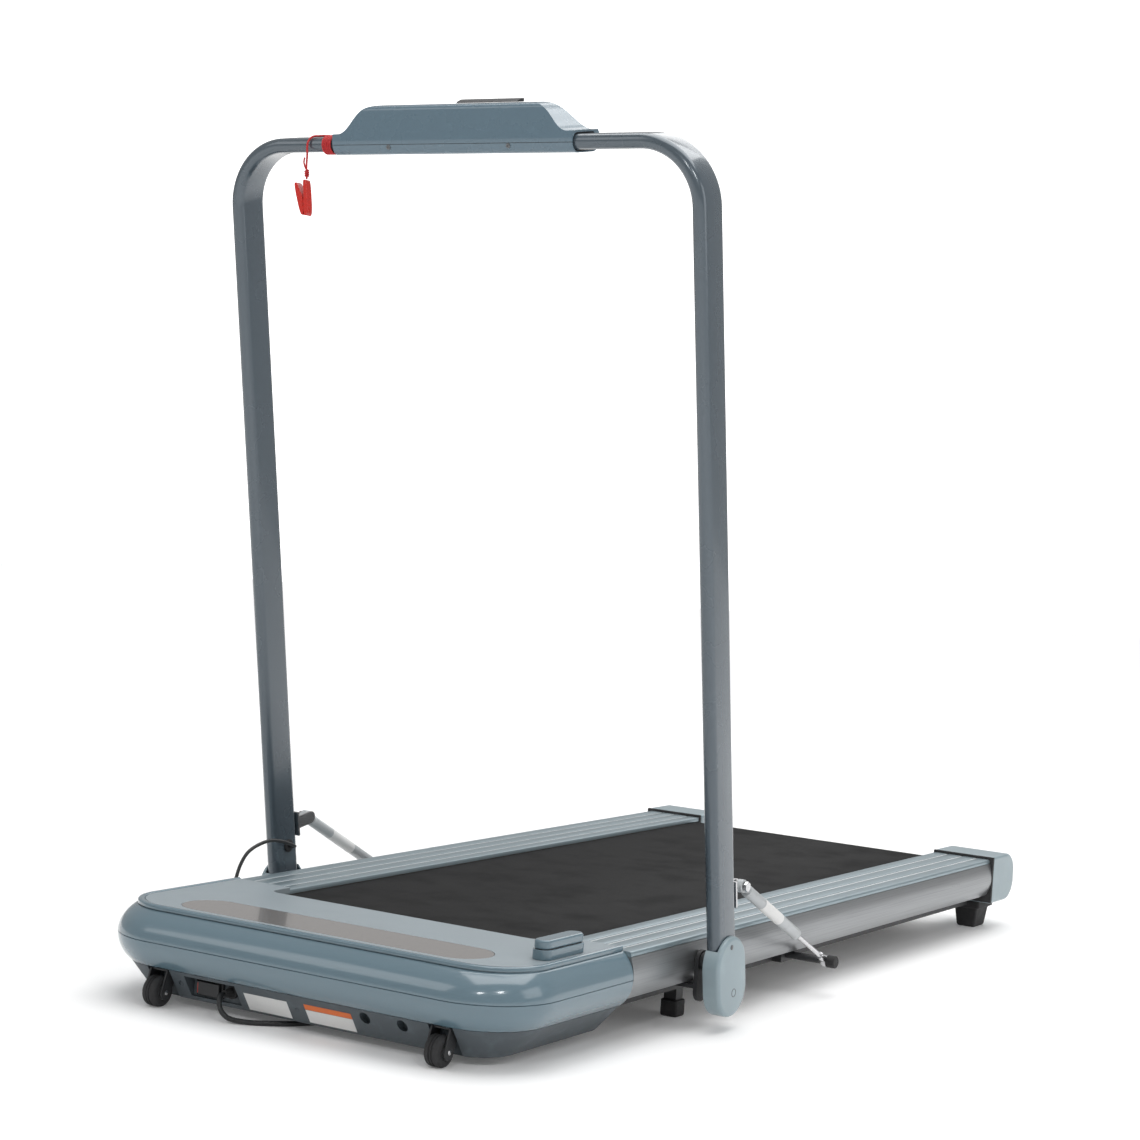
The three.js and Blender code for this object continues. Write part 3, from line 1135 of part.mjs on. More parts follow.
for (let i = 0; i < 10; i++) {
  const t = (i / 10) * 2 * Math.PI;
  coilProfile.push(V2(COIL_MEAN_R + (COIL_SECTION / 2) * Math.cos(t), COIL_H / 2 + (COIL_H / 2) * Math.sin(t)));
}
coilProfile.push(coilProfile[0].clone());
const coil = new THREE.LatheGeometry(coilProfile, 24).rotateX(Math.PI / 2).translate(COIL_CENTRE.x, COIL_CENTRE.y, 0);
place('mains_coil', solidOf(coil), PLASTIC_BLACK);
// plug lies beside the coil's left edge, pins towards the hood
const PLUG_GAP = 10.4;
const PLUG_HALF = 18;
const PLUG = V3(COIL_CENTRE.x - coilOuter - PLUG_GAP - PLUG_HALF, COIL_CENTRE.y + 20, 11.2);
// square ring of half-sizes w and h across the plug, at a place along it
const plugRing = (along, w, h) => [
  [-w, -h * 0.6], [-w * 0.7, -h], [w * 0.7, -h], [w, -h * 0.6],
  [w, h * 0.6], [w * 0.7, h], [-w * 0.7, h], [-w, h * 0.6],
].map(([x, z]) => V3(PLUG.x + x, PLUG.y - along, PLUG.z + z));
const PIN_GAP = 19;
const plugPins = [-1, 1].map((side) => rod('y', 2.2, PLUG.y - 54, PLUG.y - 34, PLUG.x + (side * PIN_GAP) / 2, PLUG.z, 12));
const plugBody = loft([
  plugRing(0, 5, 5),
  plugRing(10, 9, 8),
  plugRing(24, 17, 10.8),
  plugRing(35, PLUG_HALF, 11),
]);
place('mains_plug', join(plugBody, ...plugPins), PLASTIC_BLACK);

export default treadmill;
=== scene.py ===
"""Looks for a folding walking treadmill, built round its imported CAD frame.
Sizes are written in millimetres and become metres where a mesh or a curve is made."""

import math

import bmesh
import bpy
import numpy as np
from mathutils import Matrix


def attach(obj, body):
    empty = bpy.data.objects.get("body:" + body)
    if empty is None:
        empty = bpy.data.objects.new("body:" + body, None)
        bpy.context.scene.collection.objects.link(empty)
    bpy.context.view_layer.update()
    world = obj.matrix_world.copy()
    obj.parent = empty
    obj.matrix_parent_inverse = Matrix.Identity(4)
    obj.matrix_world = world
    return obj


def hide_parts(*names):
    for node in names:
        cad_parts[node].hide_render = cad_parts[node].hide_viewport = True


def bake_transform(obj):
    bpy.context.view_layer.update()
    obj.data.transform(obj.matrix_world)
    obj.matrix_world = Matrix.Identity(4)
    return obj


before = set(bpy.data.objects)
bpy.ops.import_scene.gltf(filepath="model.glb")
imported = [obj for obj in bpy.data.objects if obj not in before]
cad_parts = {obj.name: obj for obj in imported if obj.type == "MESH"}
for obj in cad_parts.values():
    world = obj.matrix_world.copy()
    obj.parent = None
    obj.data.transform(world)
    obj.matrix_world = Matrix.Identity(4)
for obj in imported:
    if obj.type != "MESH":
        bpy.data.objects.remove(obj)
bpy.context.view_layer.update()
MM = 0.001

# ------------------------------------------------------------------ camera, floor and light
# A long lens above the handle's pivots, off one corner of the hood, slightly rolled.
# The floor is a wide pale sheet, in a white room with four large soft panels and two small ones.
VIEW_TURN, VIEW_DOWN, VIEW_ROLL = np.radians([31.476, 2.355, 3.697])
EYE = [1.7201, -2.9693, 0.6610]
ahead = np.array(
    [
        -math.sin(VIEW_TURN) * math.cos(VIEW_DOWN),
        math.cos(VIEW_TURN) * math.cos(VIEW_DOWN),
        -math.sin(VIEW_DOWN),
    ]
)
level = np.array([math.cos(VIEW_TURN), math.sin(VIEW_TURN), 0.0])
upright = np.cross(level, ahead)
side = level * math.cos(VIEW_ROLL) + upright * math.sin(VIEW_ROLL)
top = upright * math.cos(VIEW_ROLL) - level * math.sin(VIEW_ROLL)
lens = bpy.data.cameras.new("camera")
lens.lens, lens.sensor_width, lens.clip_end = 80.18, 36.0, 60.0
camera = bpy.data.objects.new("camera", lens)
turn = np.eye(4)
turn[:3, 0], turn[:3, 1], turn[:3, 2], turn[:3, 3] = side, top, -ahead, EYE
camera.matrix_world = Matrix(turn)
bpy.context.scene.collection.objects.link(camera)
bpy.context.scene.camera = camera


def soft_panel(name, place, aim, size, power):
    """A square area light at place, facing aim."""
    light = bpy.data.lights.new(name, "AREA")
    light.shape, light.size, light.energy = "SQUARE", size, power
    lamp = bpy.data.objects.new(name, light)
    away = np.array(place, float) - np.array(aim, float)
    back = away / np.linalg.norm(away)
    across = np.cross([0.0, 0.0, 1.0], back)
    across = across / np.linalg.norm(across)
    pose = np.eye(4)
    pose[:3, 0], pose[:3, 1], pose[:3, 2], pose[:3, 3] = across, np.cross(back, across), back, place
    lamp.matrix_world = Matrix(pose)
    bpy.context.scene.collection.objects.link(lamp)


soft_panel("overhead_panel", [0.3, 0.3, 3.4], [0, 0.05, 0], 3.2, 95)
soft_panel("key_panel", [-1.8, -2.6, 2.4], [0, 0, 0.3], 1.6, 12)
soft_panel("side_panel_light", [3.4, 0.2, 1.6], [0, 0, 0.3], 1.8, 16)
soft_panel("near_square", [2.2, -2.0, 2.3], [0.2, -0.6, 0.1], 0.4, 11)
soft_panel("far_square", [1.2, -3.0, 2.3], [0.1, -0.7, 0.1], 0.36, 9)
soft_panel("back_panel", [-0.6, 3.2, 2.6], [0, 0, 0.4], 2.2, 24)
room = bpy.data.worlds.new("room")
bpy.context.scene.world = room
room.use_nodes = True
room.node_tree.nodes["Background"].inputs["Color"].default_value = (1.0, 1.0, 1.0, 1.0)
room.node_tree.nodes["Background"].inputs["Strength"].default_value = 0.4
bpy.context.scene.view_settings.view_transform = "Standard"

sheet = bpy.data.meshes.new("floor")
reach = 14.0
sheet.from_pydata(
    [(-reach, -reach, 0), (reach, -reach, 0), (reach, reach, 0), (-reach, reach, 0)], [], [(0, 1, 2, 3)]
)
floor = bpy.data.objects.new("floor", sheet)
bpy.context.scene.collection.objects.link(floor)
card = bpy.data.meshes.new("backdrop")
foot, wide = np.array([EYE[0], EYE[1], 0.0]) + 12.5 * np.array([ahead[0], ahead[1], 0.0]), 7.0 * level
card_points = [foot - wide, foot + wide, foot + wide + [0, 0, 8.0], foot - wide + [0, 0, 8.0]]
card.from_pydata([p.tolist() for p in card_points], [], [(0, 1, 2, 3)])
backdrop = bpy.data.objects.new("backdrop", card)
bpy.context.scene.collection.objects.link(backdrop)
backdrop.visible_glossy = backdrop.visible_diffuse = False


# ------------------------------------------------------------------ cords
# A round black PVC mains cord, a thin black control cable and a red nylon lanyard.
# Each lies on one smooth curve through given points, at its real length.
class Shade:
    """A shader socket that works in sums with numbers and other sockets, in either order."""

    def __init__(self, paint, socket):
        self.paint, self.socket = paint, socket

    def maths(self, operation, *others):
        values = dict(enumerate([self, *others]))
        return self.paint.node("ShaderNodeMath", {"operation": operation}, values)

    def __add__(self, other):
        return self.maths("ADD", other)

    def __mul__(self, other):
        return self.maths("MULTIPLY", other)

    def ramp(self, low, high):
        """0 below low, 1 above high, smooth between them."""
        values = {"Value": self, "From Min": low, "From Max": high}
        return self.paint.node("ShaderNodeMapRange", {"interpolation_type": "SMOOTHSTEP"}, values)

    __radd__, __rmul__ = __add__, __mul__


class Paint:
    """A procedural material: the principled shader, and one method that adds any other node."""

    def __init__(self, name, color, roughness, metallic=0.0, **sockets):
        self.material = bpy.data.materials.new(name)
        self.material.use_nodes = True
        self.tree = self.material.node_tree
        self.shader = self.tree.nodes["Principled BSDF"]
        self.color = (*color, 1.0)
        self.set("Base Color", self.color)
        self.set("Roughness", roughness)
        self.set("Metallic", metallic)
        for socket, value in sockets.items():
            self.set(socket.replace("_", " "), value)
        self.place = self.node("ShaderNodeTexCoord", {}, {}, out="Object")

    def node(self, kind, settings, values, out=0):
        made = self.tree.nodes.new(kind)
        for key, value in settings.items():
            setattr(made, key, value)
        for key, value in values.items():
            if isinstance(value, Shade):
                self.tree.links.new(value.socket, made.inputs[key])
            else:
                made.inputs[key].default_value = value
        return Shade(self, made.outputs[out])

    def set(self, socket, value):
        if isinstance(value, Shade):
            self.tree.links.new(value.socket, self.shader.inputs[socket])
        else:
            self.shader.inputs[socket].default_value = value

    def plan(self):
        """The two level object coordinates, in metres."""
        return [self.node("ShaderNodeSeparateXYZ", {}, {0: self.place}, out=k) for k in range(2)]

    def stretched(self, scale):
        """Object coordinates multiplied axis by axis."""
        return self.node("ShaderNodeVectorMath", {"operation": "MULTIPLY"}, {0: self.place, 1: scale})

    def noise(self, scale, detail, vector=None):
        values = {"Vector": vector or self.place, "Scale": scale, "Detail": detail, "Roughness": 0.5}
        return self.node("ShaderNodeTexNoise", {}, values)

    def mix(self, share, first, second):
        """Colour from first to second."""
        values = {0: share, 6: first, 7: second}
        return self.node("ShaderNodeMix", {"data_type": "RGBA"}, values, out=2)

    def tint(self, share, by):
        """The base colour, scaled by the number by where share is 1."""
        other = tuple(min(1.0, c * by) for c in self.color[:3]) + (1.0,)
        return self.mix(share, self.color, other)

    def bump(self, height, depth):
        """Relief from a height of 0 to 1, depth in metres."""
        values = {"Height": height, "Distance": depth, "Strength": 1.0}
        self.set("Normal", self.node("ShaderNodeBump", {}, values))

    def uneven(self, rough, relief=None, tint=None, stretch=None):
        """Roughness low + span * noise, relief of noise, and colour towards by times itself over a ramp
        of noise. rough: low, span; relief: depth in metres; tint: by, ramp's start, ramp's end; each
        then the noise's scale and detail. stretch multiplies the coordinates axis by axis."""
        vector = self.stretched(stretch) if stretch else None
        low, span, scale, detail = rough
        self.set("Roughness", low + self.noise(scale, detail, vector) * span)
        if tint:
            by, start, end, scale, detail = tint
            self.set("Base Color", self.tint(self.noise(scale, detail, vector).ramp(start, end), by))
        if relief:
            depth, scale, detail = relief
            self.bump(self.noise(scale, detail, vector), depth)


def smooth_path(points, steps):
    """A curve through the points: cubic pieces whose slopes come from the neighbouring points,
    with the root of each chord as the parameter. steps points for each piece."""
    p = np.array(points, float)
    t = np.concatenate([[0.0], np.cumsum(np.linalg.norm(np.diff(p, axis=0), axis=1) ** 0.5)])
    slope = np.gradient(p, t, axis=0)
    share = np.linspace(0, 1, steps, endpoint=False)[None, :, None]
    width = np.diff(t)[:, None, None]
    a, b, ma, mb = p[:-1, None], p[1:, None], slope[:-1, None] * width, slope[1:, None] * width
    s2, s3 = share**2, share**3
    run = (2 * s3 - 3 * s2 + 1) * a + (s3 - 2 * s2 + share) * ma + (3 * s2 - 2 * s3) * b + (s3 - s2) * mb
    return np.concatenate([run.reshape(-1, 3), p[-1:]])


def round_cord(name, path, diameter, paint, body):
    """A round cord on one body, as one open poly spline along path, in mm."""
    curve = bpy.data.curves.new(name, "CURVE")
    curve.dimensions, curve.bevel_depth, curve.bevel_resolution = "3D", diameter / 2 * MM, 3
    curve.use_fill_caps = True
    spline = curve.splines.new("POLY")
    spline.points.add(len(path) - 1)
    spline.points.foreach_set("co", np.column_stack([path * MM, np.ones(len(path))]).ravel())
    curve.materials.append(paint.material)
    cord = bpy.data.objects.new(name, curve)
    bpy.context.scene.collection.objects.link(cord)
    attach(cord, body)
    return cord


floor_paint = Paint("white_floor", (0.93, 0.93, 0.93), 0.7, Emission_Strength=0.62)
floor_paint.uneven((0.62, 0.16, 3.0, 4.0), (0.00005, 400.0, 3.0))
# the floor glows: dim grey within 0.9 m of the middle, rising to full white by 3.4 m out, painted light on
# the far floor
away = floor_paint.node("ShaderNodeVectorMath", {"operation": "LENGTH"}, {0: floor_paint.place}, out=1)
floor_paint.set(
    "Emission Color", floor_paint.mix(away.ramp(0.9, 3.4), (0.12, 0.12, 0.12, 1.0), (1.0, 1.0, 1.0, 1.0))
)
sheet.materials.append(floor_paint.material)
backdrop_paint = Paint(
    "white_backdrop", (0.9, 0.9, 0.9), 0.8, Emission_Strength=1.0, Emission_Color=(1.0, 1.0, 1.0, 1.0)
)
backdrop_paint.uneven((0.7, 0.2, 4.0, 3.0), (0.0001, 200.0, 3.0))
card.materials.append(backdrop_paint.material)
pvc = Paint("black_pvc", (0.016, 0.017, 0.018), 0.42)
pvc.uneven((0.34, 0.2, 900.0, 3.0), (0.00005, 2600.0, 2.0))

MAINS = 6.2
FLOOR_Z = MAINS / 2 + 0.2
GLAND = (-104.0, -690.6, 29.0)
COIL = (-3.0, -392.0)
COIL_TURNS = 3
COIL_R_OUT, COIL_STEP = 40.4, 6.4
lead = [
    GLAND,
    (-104, -695.2, 28.6),
    (-102.4, -700, 24.5),
    (-98, -703, 15),
    (-88, -702, 6.5),
    (-70, -694, FLOOR_Z),
    (-46, -679, FLOOR_Z),
    (-25, -658, FLOOR_Z),
    (-8, -628, FLOOR_Z),
    (6, -587, FLOOR_Z),
    (18, -535, FLOOR_Z),
    (28, -485, FLOOR_Z),
    (36, -440, FLOOR_Z),
    (COIL[0] + COIL_R_OUT, COIL[1] - 12, FLOOR_Z),
]
# the coil: turns side by side on the floor, inwards, then a second layer on top, back outwards;
# each turn keeps its radius and eases to the next over its last sixth
turns = np.linspace(0, 2 * COIL_TURNS, 6 * COIL_TURNS * 12 + 1)[1:]
whole = np.floor(turns)
ease = np.clip((turns - whole - 5 / 6) * 6, 0, 1)
ease = ease * ease * (3 - 2 * ease)
step_in = np.where(
    turns < COIL_TURNS, np.minimum(whole + ease, COIL_TURNS - 1), 2 * COIL_TURNS - 1 - whole - ease
)
step_in = np.clip(step_in, 0, COIL_TURNS - 1)
radius = COIL_R_OUT - COIL_STEP * step_in
climb = np.where(whole == COIL_TURNS - 1, ease, (turns >= COIL_TURNS).astype(float))
angle = turns * 2 * math.pi
rings = np.column_stack(
    [COIL[0] + radius * np.cos(angle), COIL[1] + radius * np.sin(angle), FLOOR_Z + COIL_STEP * climb]
)
PLUG = (-75.0, -372.0, 11.2)
tail = [
    rings[-1],
    (COIL[0] + COIL_R_OUT - 1.2, COIL[1] + 14, FLOOR_Z + 5.6),
    (COIL[0] + 24, COIL[1] + 45, FLOOR_Z + 1.2),
    (COIL[0] - 10, COIL[1] + 60, FLOOR_Z),
    (COIL[0] - 40, COIL[1] + 55, FLOOR_Z + 1),
    (PLUG[0] + 10, PLUG[1] + 18, PLUG[2] - 3.5),
    (PLUG[0] + 1.5, PLUG[1] + 8, PLUG[2] - 0.8),
    PLUG,
]
mains_path = np.concatenate([smooth_path(lead, 10), rings, smooth_path(tail, 10)[1:]])
mains = round_cord("mains_cord_run", mains_path, MAINS, pvc, "base")
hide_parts("mains_cord", "mains_coil")

# control cable: out of the grommet, over in an arch and down into the hood's left side
SIGNAL = 4.6
signal_points = [
    (-323, -302.9, 135.7),
    (-318, -302.9, 135.7),
    (-311.5, -303.6, 136.0),
    (-305.6, -308.5, 137.2),
    (-303.5, -317, 140.2),
    (-305.5, -337.5, 146.4),
    (-307.5, -363, 149),
    (-309.5, -399, 139),
    (-310, -414, 124),
    (-309.5, -426, 100),
    (-309, -441, 78),
    (-307.8, -457, 66),
    (-304.5, -468.5, 62.4),
    (-298, -473, 62),
    (-288, -473, 62),
]
signal_path = smooth_path(signal_points, 9)


def swept(path, diameter, sides):
    """Tube of circles round path: each circle stands across the local direction, its zero angle
    kept level by crossing that direction with a fixed one."""
    along = np.gradient(path, axis=0)
    along /= np.linalg.norm(along, axis=1)[:, None]
    fixed = np.array([0.31, 0.17, 0.93])
    across = np.cross(along, fixed)
    across /= np.linalg.norm(across, axis=1)[:, None]
    over = np.cross(along, across)
    t = np.linspace(0, 2 * math.pi, sides, endpoint=False)[None, :, None]
    return path[:, None] + (across[:, None] * np.cos(t) + over[:, None] * np.sin(t)) * diameter / 2


def skin(grid, ring=False):
    """Points and faces of a closed surface over a grid of points, row by row. The last column joins
    the first. ring joins the last row to the first too; without it the two end rows are capped."""
    rows, columns = grid.shape[:2]
    i, j = np.meshgrid(np.arange(rows if ring else rows - 1), np.arange(columns), indexing="ij")
    below, beside = (i + 1) % rows, (j + 1) % columns
    corners = [i * columns + j, i * columns + beside, below * columns + beside, below * columns + j]
    faces = np.stack(corners, -1).reshape(-1, 4).tolist()
    if not ring:
        faces += [list(range(columns))[::-1], list(range((rows - 1) * columns, rows * columns))]
    return grid.reshape(-1, 3), faces


def turn_out(mesh):
    """Turns every face of a closed mesh outward."""
    work = bmesh.new()
    work.from_mesh(mesh)
    bmesh.ops.recalc_face_normals(work, faces=work.faces)
    work.to_mesh(mesh)
    work.free()


def piece(name, parts, body, paint, stands_for=(), bevel=0.0, sharp=38.0, steps=3):
    """One object at the origin from the listed surfaces, in mm, on one CAD body.
    bevel rounds every edge sharper than 35 degrees by that many mm."""
    points, faces, start = [], [], 0
    for some_points, some_faces in parts:
        points.append(np.asarray(some_points, float))
        faces += [[start + k for k in face] for face in some_faces]
        start += len(some_points)
    mesh = bpy.data.meshes.new(name)
    mesh.from_pydata((np.concatenate(points) * MM).tolist(), [], faces)
    turn_out(mesh)
    mesh.shade_smooth()
    mesh.materials.append(paint.material)
    made = bpy.data.objects.new(name, mesh)
    bpy.context.scene.collection.objects.link(made)
    if bevel:
        edge = made.modifiers.new("rounded_edges", "BEVEL")
        edge.width, edge.segments, edge.limit_method = bevel * MM, steps, "ANGLE"
        edge.angle_limit = math.radians(35)
        made.modifiers.new("even_normals", "WEIGHTED_NORMAL").keep_sharp = True
    else:
        mesh.set_sharp_from_angle(angle=math.radians(sharp))
    if body:
        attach(made, body)
    if stands_for:
        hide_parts(*stands_for)
    return made


soft_rubber = Paint("black_rubber", (0.018, 0.018, 0.019), 0.7)
soft_rubber.uneven((0.6, 0.22, 500.0, 3.0), (0.00008, 1500.0, 2.0), (1.9, 0.45, 0.75, 40.0, 4.0))
signal = piece(
    "control_cable", [skin(swept(signal_path, SIGNAL, 14))], None, pvc, ["signal_cable"]
)
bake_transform(signal)

# lanyard: from the safety key over the console's shoulder, five turns round the crossbar,
# then over the front of the bar and down to the clip
LEAN = math.radians(10.15)
PIVOT = np.array([0.0, -296.0, 80.0])
BAR_HIGH = 969.8
TUBE_DEPTH, TUBE_THICK = 50.0, 18.0
LANYARD = 2.6


def on_handle(points):
    """From the handle's own axes, with the pivot as origin and the third axis up the uprights."""
    p = np.asarray(points, float)
    c, s = math.cos(LEAN), math.sin(LEAN)
    y, z = p[..., 1], p[..., 2]
    return np.stack([p[..., 0], y * c - z * s, y * s + z * c], -1) + PIVOT


def on_bar(points):
    """From axes whose origin is the middle of the crossbar."""
    return on_handle(np.asarray(points, float) + [0, 0, BAR_HIGH])


def oval(turns, depth, thick):
    """Points round a flat oval: two half circles joined by straights, by distance run, turns from 0 up."""
    r, straight = thick / 2, depth - thick
    rim = 2 * straight + 2 * math.pi * r
    d = (np.asarray(turns, float) % 1.0) * rim
    half = rim / 2
    back = d >= half
    d = np.where(back, d - half, d)
    bend = np.clip((d - straight) / r, 0, math.pi)
    flat = np.minimum(d, straight)
    y = -straight / 2 + flat + r * np.sin(bend)
    z = r * np.cos(bend)
    flip = np.where(back, -1.0, 1.0)
    return y * flip, z * flip


WIND_IN, WIND_OUT = -174.4, -187.6
tight = np.linspace(0.18, 5.02, 330)
share = (tight - tight[0]) / (tight[-1] - tight[0])
wind_room = LANYARD + 0.8
ty, tz = oval(tight, TUBE_DEPTH + wind_room, TUBE_THICK + wind_room)
wrap = np.column_stack([WIND_IN + (WIND_OUT - WIND_IN) * share, ty, tz])
string_in = [
    (-118, 28.2, 30.7),
    (-118.5, 31.6, 32.9),
    (-123, 34.5, 36),
    (-134, 34, 38),
    (-148, 25, 33),
    (-160, 12, 26),
    (-170, 0, 17),
    wrap[0],
]
string_out = [
    wrap[-1],
    (-190.5, -8, 10.9),
    (-196, -5.5, 10.9),
    (-202.5, -10, 10.9),
    (-207, -20, 10.3),
    (-209, -27.2, 4),
    (-209.3, -29.6, -12),
    (-209, -32.4, -26),
    (-207.6, -34.9, -40.2),
]
nylon = Paint("red_nylon_braid", (0.33, 0.012, 0.014), 0.55)
strand = nylon.node(
    "ShaderNodeTexWave",
    {"wave_type": "BANDS", "bands_direction": "DIAGONAL"},
    {"Vector": nylon.place, "Scale": 900.0, "Distortion": 3.0, "Detail": 2.0},
)
nylon.set("Base Color", nylon.tint(strand, 2.2))
nylon.bump(strand, 0.0002)
string_path = on_bar(np.concatenate([smooth_path(string_in, 8)[:-1], wrap, smooth_path(string_out, 8)[1:]]))
string = piece(
    "lanyard_string", [skin(swept(string_path, LANYARD, 12))], None, nylon,
    ["lanyard_winding", "lanyard_to_key", "lanyard_free_end"],
)
key_end, key_slack = on_bar([string_in[0], string_in[4]]) * MM
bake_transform(string)

# the knot above the clip: three small turns and a loose end
knot_turn = np.linspace(0, 3, 60)
KNOT, KNOT_R, KNOT_PITCH, KNOT_STRING = np.array([-208.3, -33.2, -29.5]), 2.2, 2.5, 2.2
knot_angle = knot_turn * 2 * math.pi
knot_line = KNOT + np.column_stack(
    [KNOT_R * np.cos(knot_angle), KNOT_R * np.sin(knot_angle), -KNOT_PITCH * knot_turn]
)
knot_ends = smooth_path([(-207, -32, -31), (-211, -31.6, -27), (-213.2, -31.5, -20), (-212.2, -31, -14)], 8)
knot = round_cord("lanyard_knot", on_bar(knot_line), KNOT_STRING, nylon, "handle")
loose = round_cord("lanyard_loose_end", on_bar(knot_ends), KNOT_STRING, nylon, "handle")


# ------------------------------------------------------------------ motor hood
# Two glossy ABS shells meet on the widest line. The upper one rolls over to a raised rim
# that frames a paler satin panel with a stadium-shaped window and a small two-tier pod.
FRONT, BACK = -712.0, -453.0
HALF, SEAM, BULGE = 300.0, 77.0, 39.0
CORNER_R, SHELL_WALL, SEAM_GAP, FRONT_SLOPE = 92.0, 3.0, 0.15, 1.7


def wall_inset(z):
    """How far the side wall lies in from the widest line: a circular arc of radius BULGE about it."""
    rise = np.minimum(np.abs(np.asarray(z, float) - SEAM), BULGE)
    return BULGE - np.sqrt(BULGE**2 - rise**2)


def outline(z, at_side, at_front, back=BACK):
    """The hood's plan at one height: from the rear right, straight forward, round a quarter circle,
    across the front, round the other corner and straight back. Point arrays in mm."""
    half, front = HALF - at_side, FRONT + at_front
    r = CORNER_R - (at_side + at_front) / 2
    t = np.linspace(0, math.pi / 2, 26)
    side_y = np.linspace(back, front + r, 8)[:-1]
    cross = np.linspace(half - r, r - half, 16)[1:-1]
    right = np.column_stack([half - r + r * np.cos(t), front + r - r * np.sin(t)])
    left = right[::-1] * [-1, 1]
    run = np.concatenate(
        [
            np.column_stack([np.full(7, half), side_y]),
            right,
            np.column_stack([cross, np.full(len(cross), front)]),
            left,
            np.column_stack([np.full(7, -half), side_y[::-1]]),
        ]
    )
    return np.column_stack([run, np.full(len(run), float(z))])


def hood_band(profile, front_share):
    """A wall of closed section carried along the hood's plan: profile rows are height and inset,
    and the front's inset is the side's times front_share."""
    rings = np.stack([outline(z, inset, inset * front_share) for z, inset in profile])
    return skin(rings.transpose(1, 0, 2))


gloss = Paint("blue_gloss_abs", (0.115, 0.178, 0.215), 0.22, Coat_Weight=0.6, Coat_Roughness=0.08)
gloss.uneven((0.19, 0.05, 35.0, 5.0), (0.00002, 260.0, 2.0), (1.12, 0.55, 0.8, 2200.0, 2.0))

rise = np.linspace(SEAM + SEAM_GAP, 108.0, 22)
upper_profile = [(SEAM + SEAM_GAP, 0.5)] + list(zip(rise + 0.35, wall_inset(rise)))
upper_profile += [(108.6, 16.4), (108.7, 17.4), (109.6, 17.4), (109.7, 16.4), (110.1, 16.15)]
lip = np.linspace(0, math.pi, 11)
upper_profile += list(zip(112.9 + 2.1 * np.sin(lip), 19.4 - 3.2 * np.cos(lip)))
upper_profile += [(110.2, 22.8), (107.2, 23.2)]
fall = np.linspace(107.0, SEAM + 0.2, 10)
upper_profile += list(zip(fall, wall_inset(fall) + SHELL_WALL))
piece(
    "hood_top_shell", [hood_band(upper_profile, FRONT_SLOPE)], "base", gloss,
    ["hood_upper_shell"],
)

drop = np.linspace(SEAM - 0.5, 45.4, 20)
lower_profile = [(SEAM - SEAM_GAP, 0.5)] + list(zip(drop, wall_inset(drop)))
shell_foot, foot_inset = 45.15, float(wall_inset(45.2))
lower_profile += [(shell_foot, foot_inset + 0.6), (shell_foot, foot_inset + SHELL_WALL)]
back_up = np.linspace(46.0, SEAM - 0.2, 10)
lower_profile += list(zip(back_up, wall_inset(back_up) + SHELL_WALL))
piece("hood_side_shell", [hood_band(lower_profile, 1.0)], "base", gloss, ["hood_lower_shell"])


def flat_plate(loop, low, high):
    """A plate between two heights whose outline is a closed loop of plan points."""
    loop = np.asarray(loop, float)
    rings = np.stack([np.column_stack([loop, np.full(len(loop), h)]) for h in (low, high)])
    return skin(rings)


def round_box(x0, x1, y0, y1, r, corner=8):
    """Loop of a rectangle with round corners."""
    t = np.linspace(0, math.pi / 2, corner)
    arc = np.column_stack([np.cos(t), np.sin(t)]) * r
    quarter = [arc, arc[::-1] * [-1, 1], arc * [-1, -1], arc[::-1] * [1, -1]]
    centre = [(x1 - r, y1 - r), (x0 + r, y1 - r), (x0 + r, y0 + r), (x1 - r, y0 + r)]
    return np.concatenate([q + c for q, c in zip(quarter, centre)])


def carve(target, *cutters, operation="DIFFERENCE"):
    """Cuts closed surfaces away from a piece for good, or keeps only what is inside them."""
    for number, part in enumerate(cutters):
        mesh = bpy.data.meshes.new(f"cutter_{number}")
        mesh.from_pydata((np.asarray(part[0]) * MM).tolist(), [], part[1])
        turn_out(mesh)
        tool = bpy.data.objects.new(mesh.name, mesh)
        bpy.context.scene.collection.objects.link(tool)
        cut = target.modifiers.new("cut", "BOOLEAN")
        cut.operation, cut.solver, cut.object = operation, "EXACT", tool
        target.modifiers.move(len(target.modifiers) - 1, 0)
        bpy.context.view_layer.update()
        others = [m for m in target.modifiers if m != cut]
        shown = [m.show_viewport for m in others]
        for m in others:
            m.show_viewport = False
        fresh = bpy.data.meshes.new_from_object(target.evaluated_get(bpy.context.evaluated_depsgraph_get()))
        target.modifiers.remove(cut)
        for m, state in zip(others, shown):
            m.show_viewport = state
        fresh.name = target.data.name
        target.data = fresh
        bpy.data.objects.remove(tool)


panel_paint = Paint("pale_satin_panel", (0.27, 0.315, 0.34), 0.3)
panel_grain = panel_paint.noise(1400.0, 3.0)
panel_paint.set("Roughness", 0.3 + panel_grain * 0.14 + panel_paint.noise(9.0, 3.0).ramp(0.4, 0.7) * 0.08)
panel_paint.set("Base Color", panel_paint.tint(panel_grain.ramp(0.5, 0.75), 1.06))
panel_paint.bump(panel_grain, 0.00006)
MOUTH_HALF, MOUTH_FRONT, MOUTH_R = 198.0, -497.0, 16.0
PANEL_TOP, PANEL_BACK, PANEL_INSET = 113.8, -454.0, 22.9
rim_inside = outline(0, PANEL_INSET, PANEL_INSET * FRONT_SLOPE, back=PANEL_BACK)[:, :2]
t = np.linspace(0, math.pi / 2, 9)
notch_left = [MOUTH_R - MOUTH_HALF, MOUTH_R + MOUTH_FRONT] - MOUTH_R * np.column_stack([np.cos(t), np.sin(t)])
notch = np.concatenate(
    [[(-MOUTH_HALF, PANEL_BACK)], notch_left, notch_left[::-1] * [-1, 1], [(MOUTH_HALF, PANEL_BACK)]]
)
panel = piece(
    "hood_panel", [flat_plate(np.concatenate([rim_inside, notch]), 106.2, PANEL_TOP)], "base", panel_paint,
    ["top_panel"], bevel=0.9,
)
WINDOW = (-215.0, 215.0, -665.0, -591.0, 36.99)
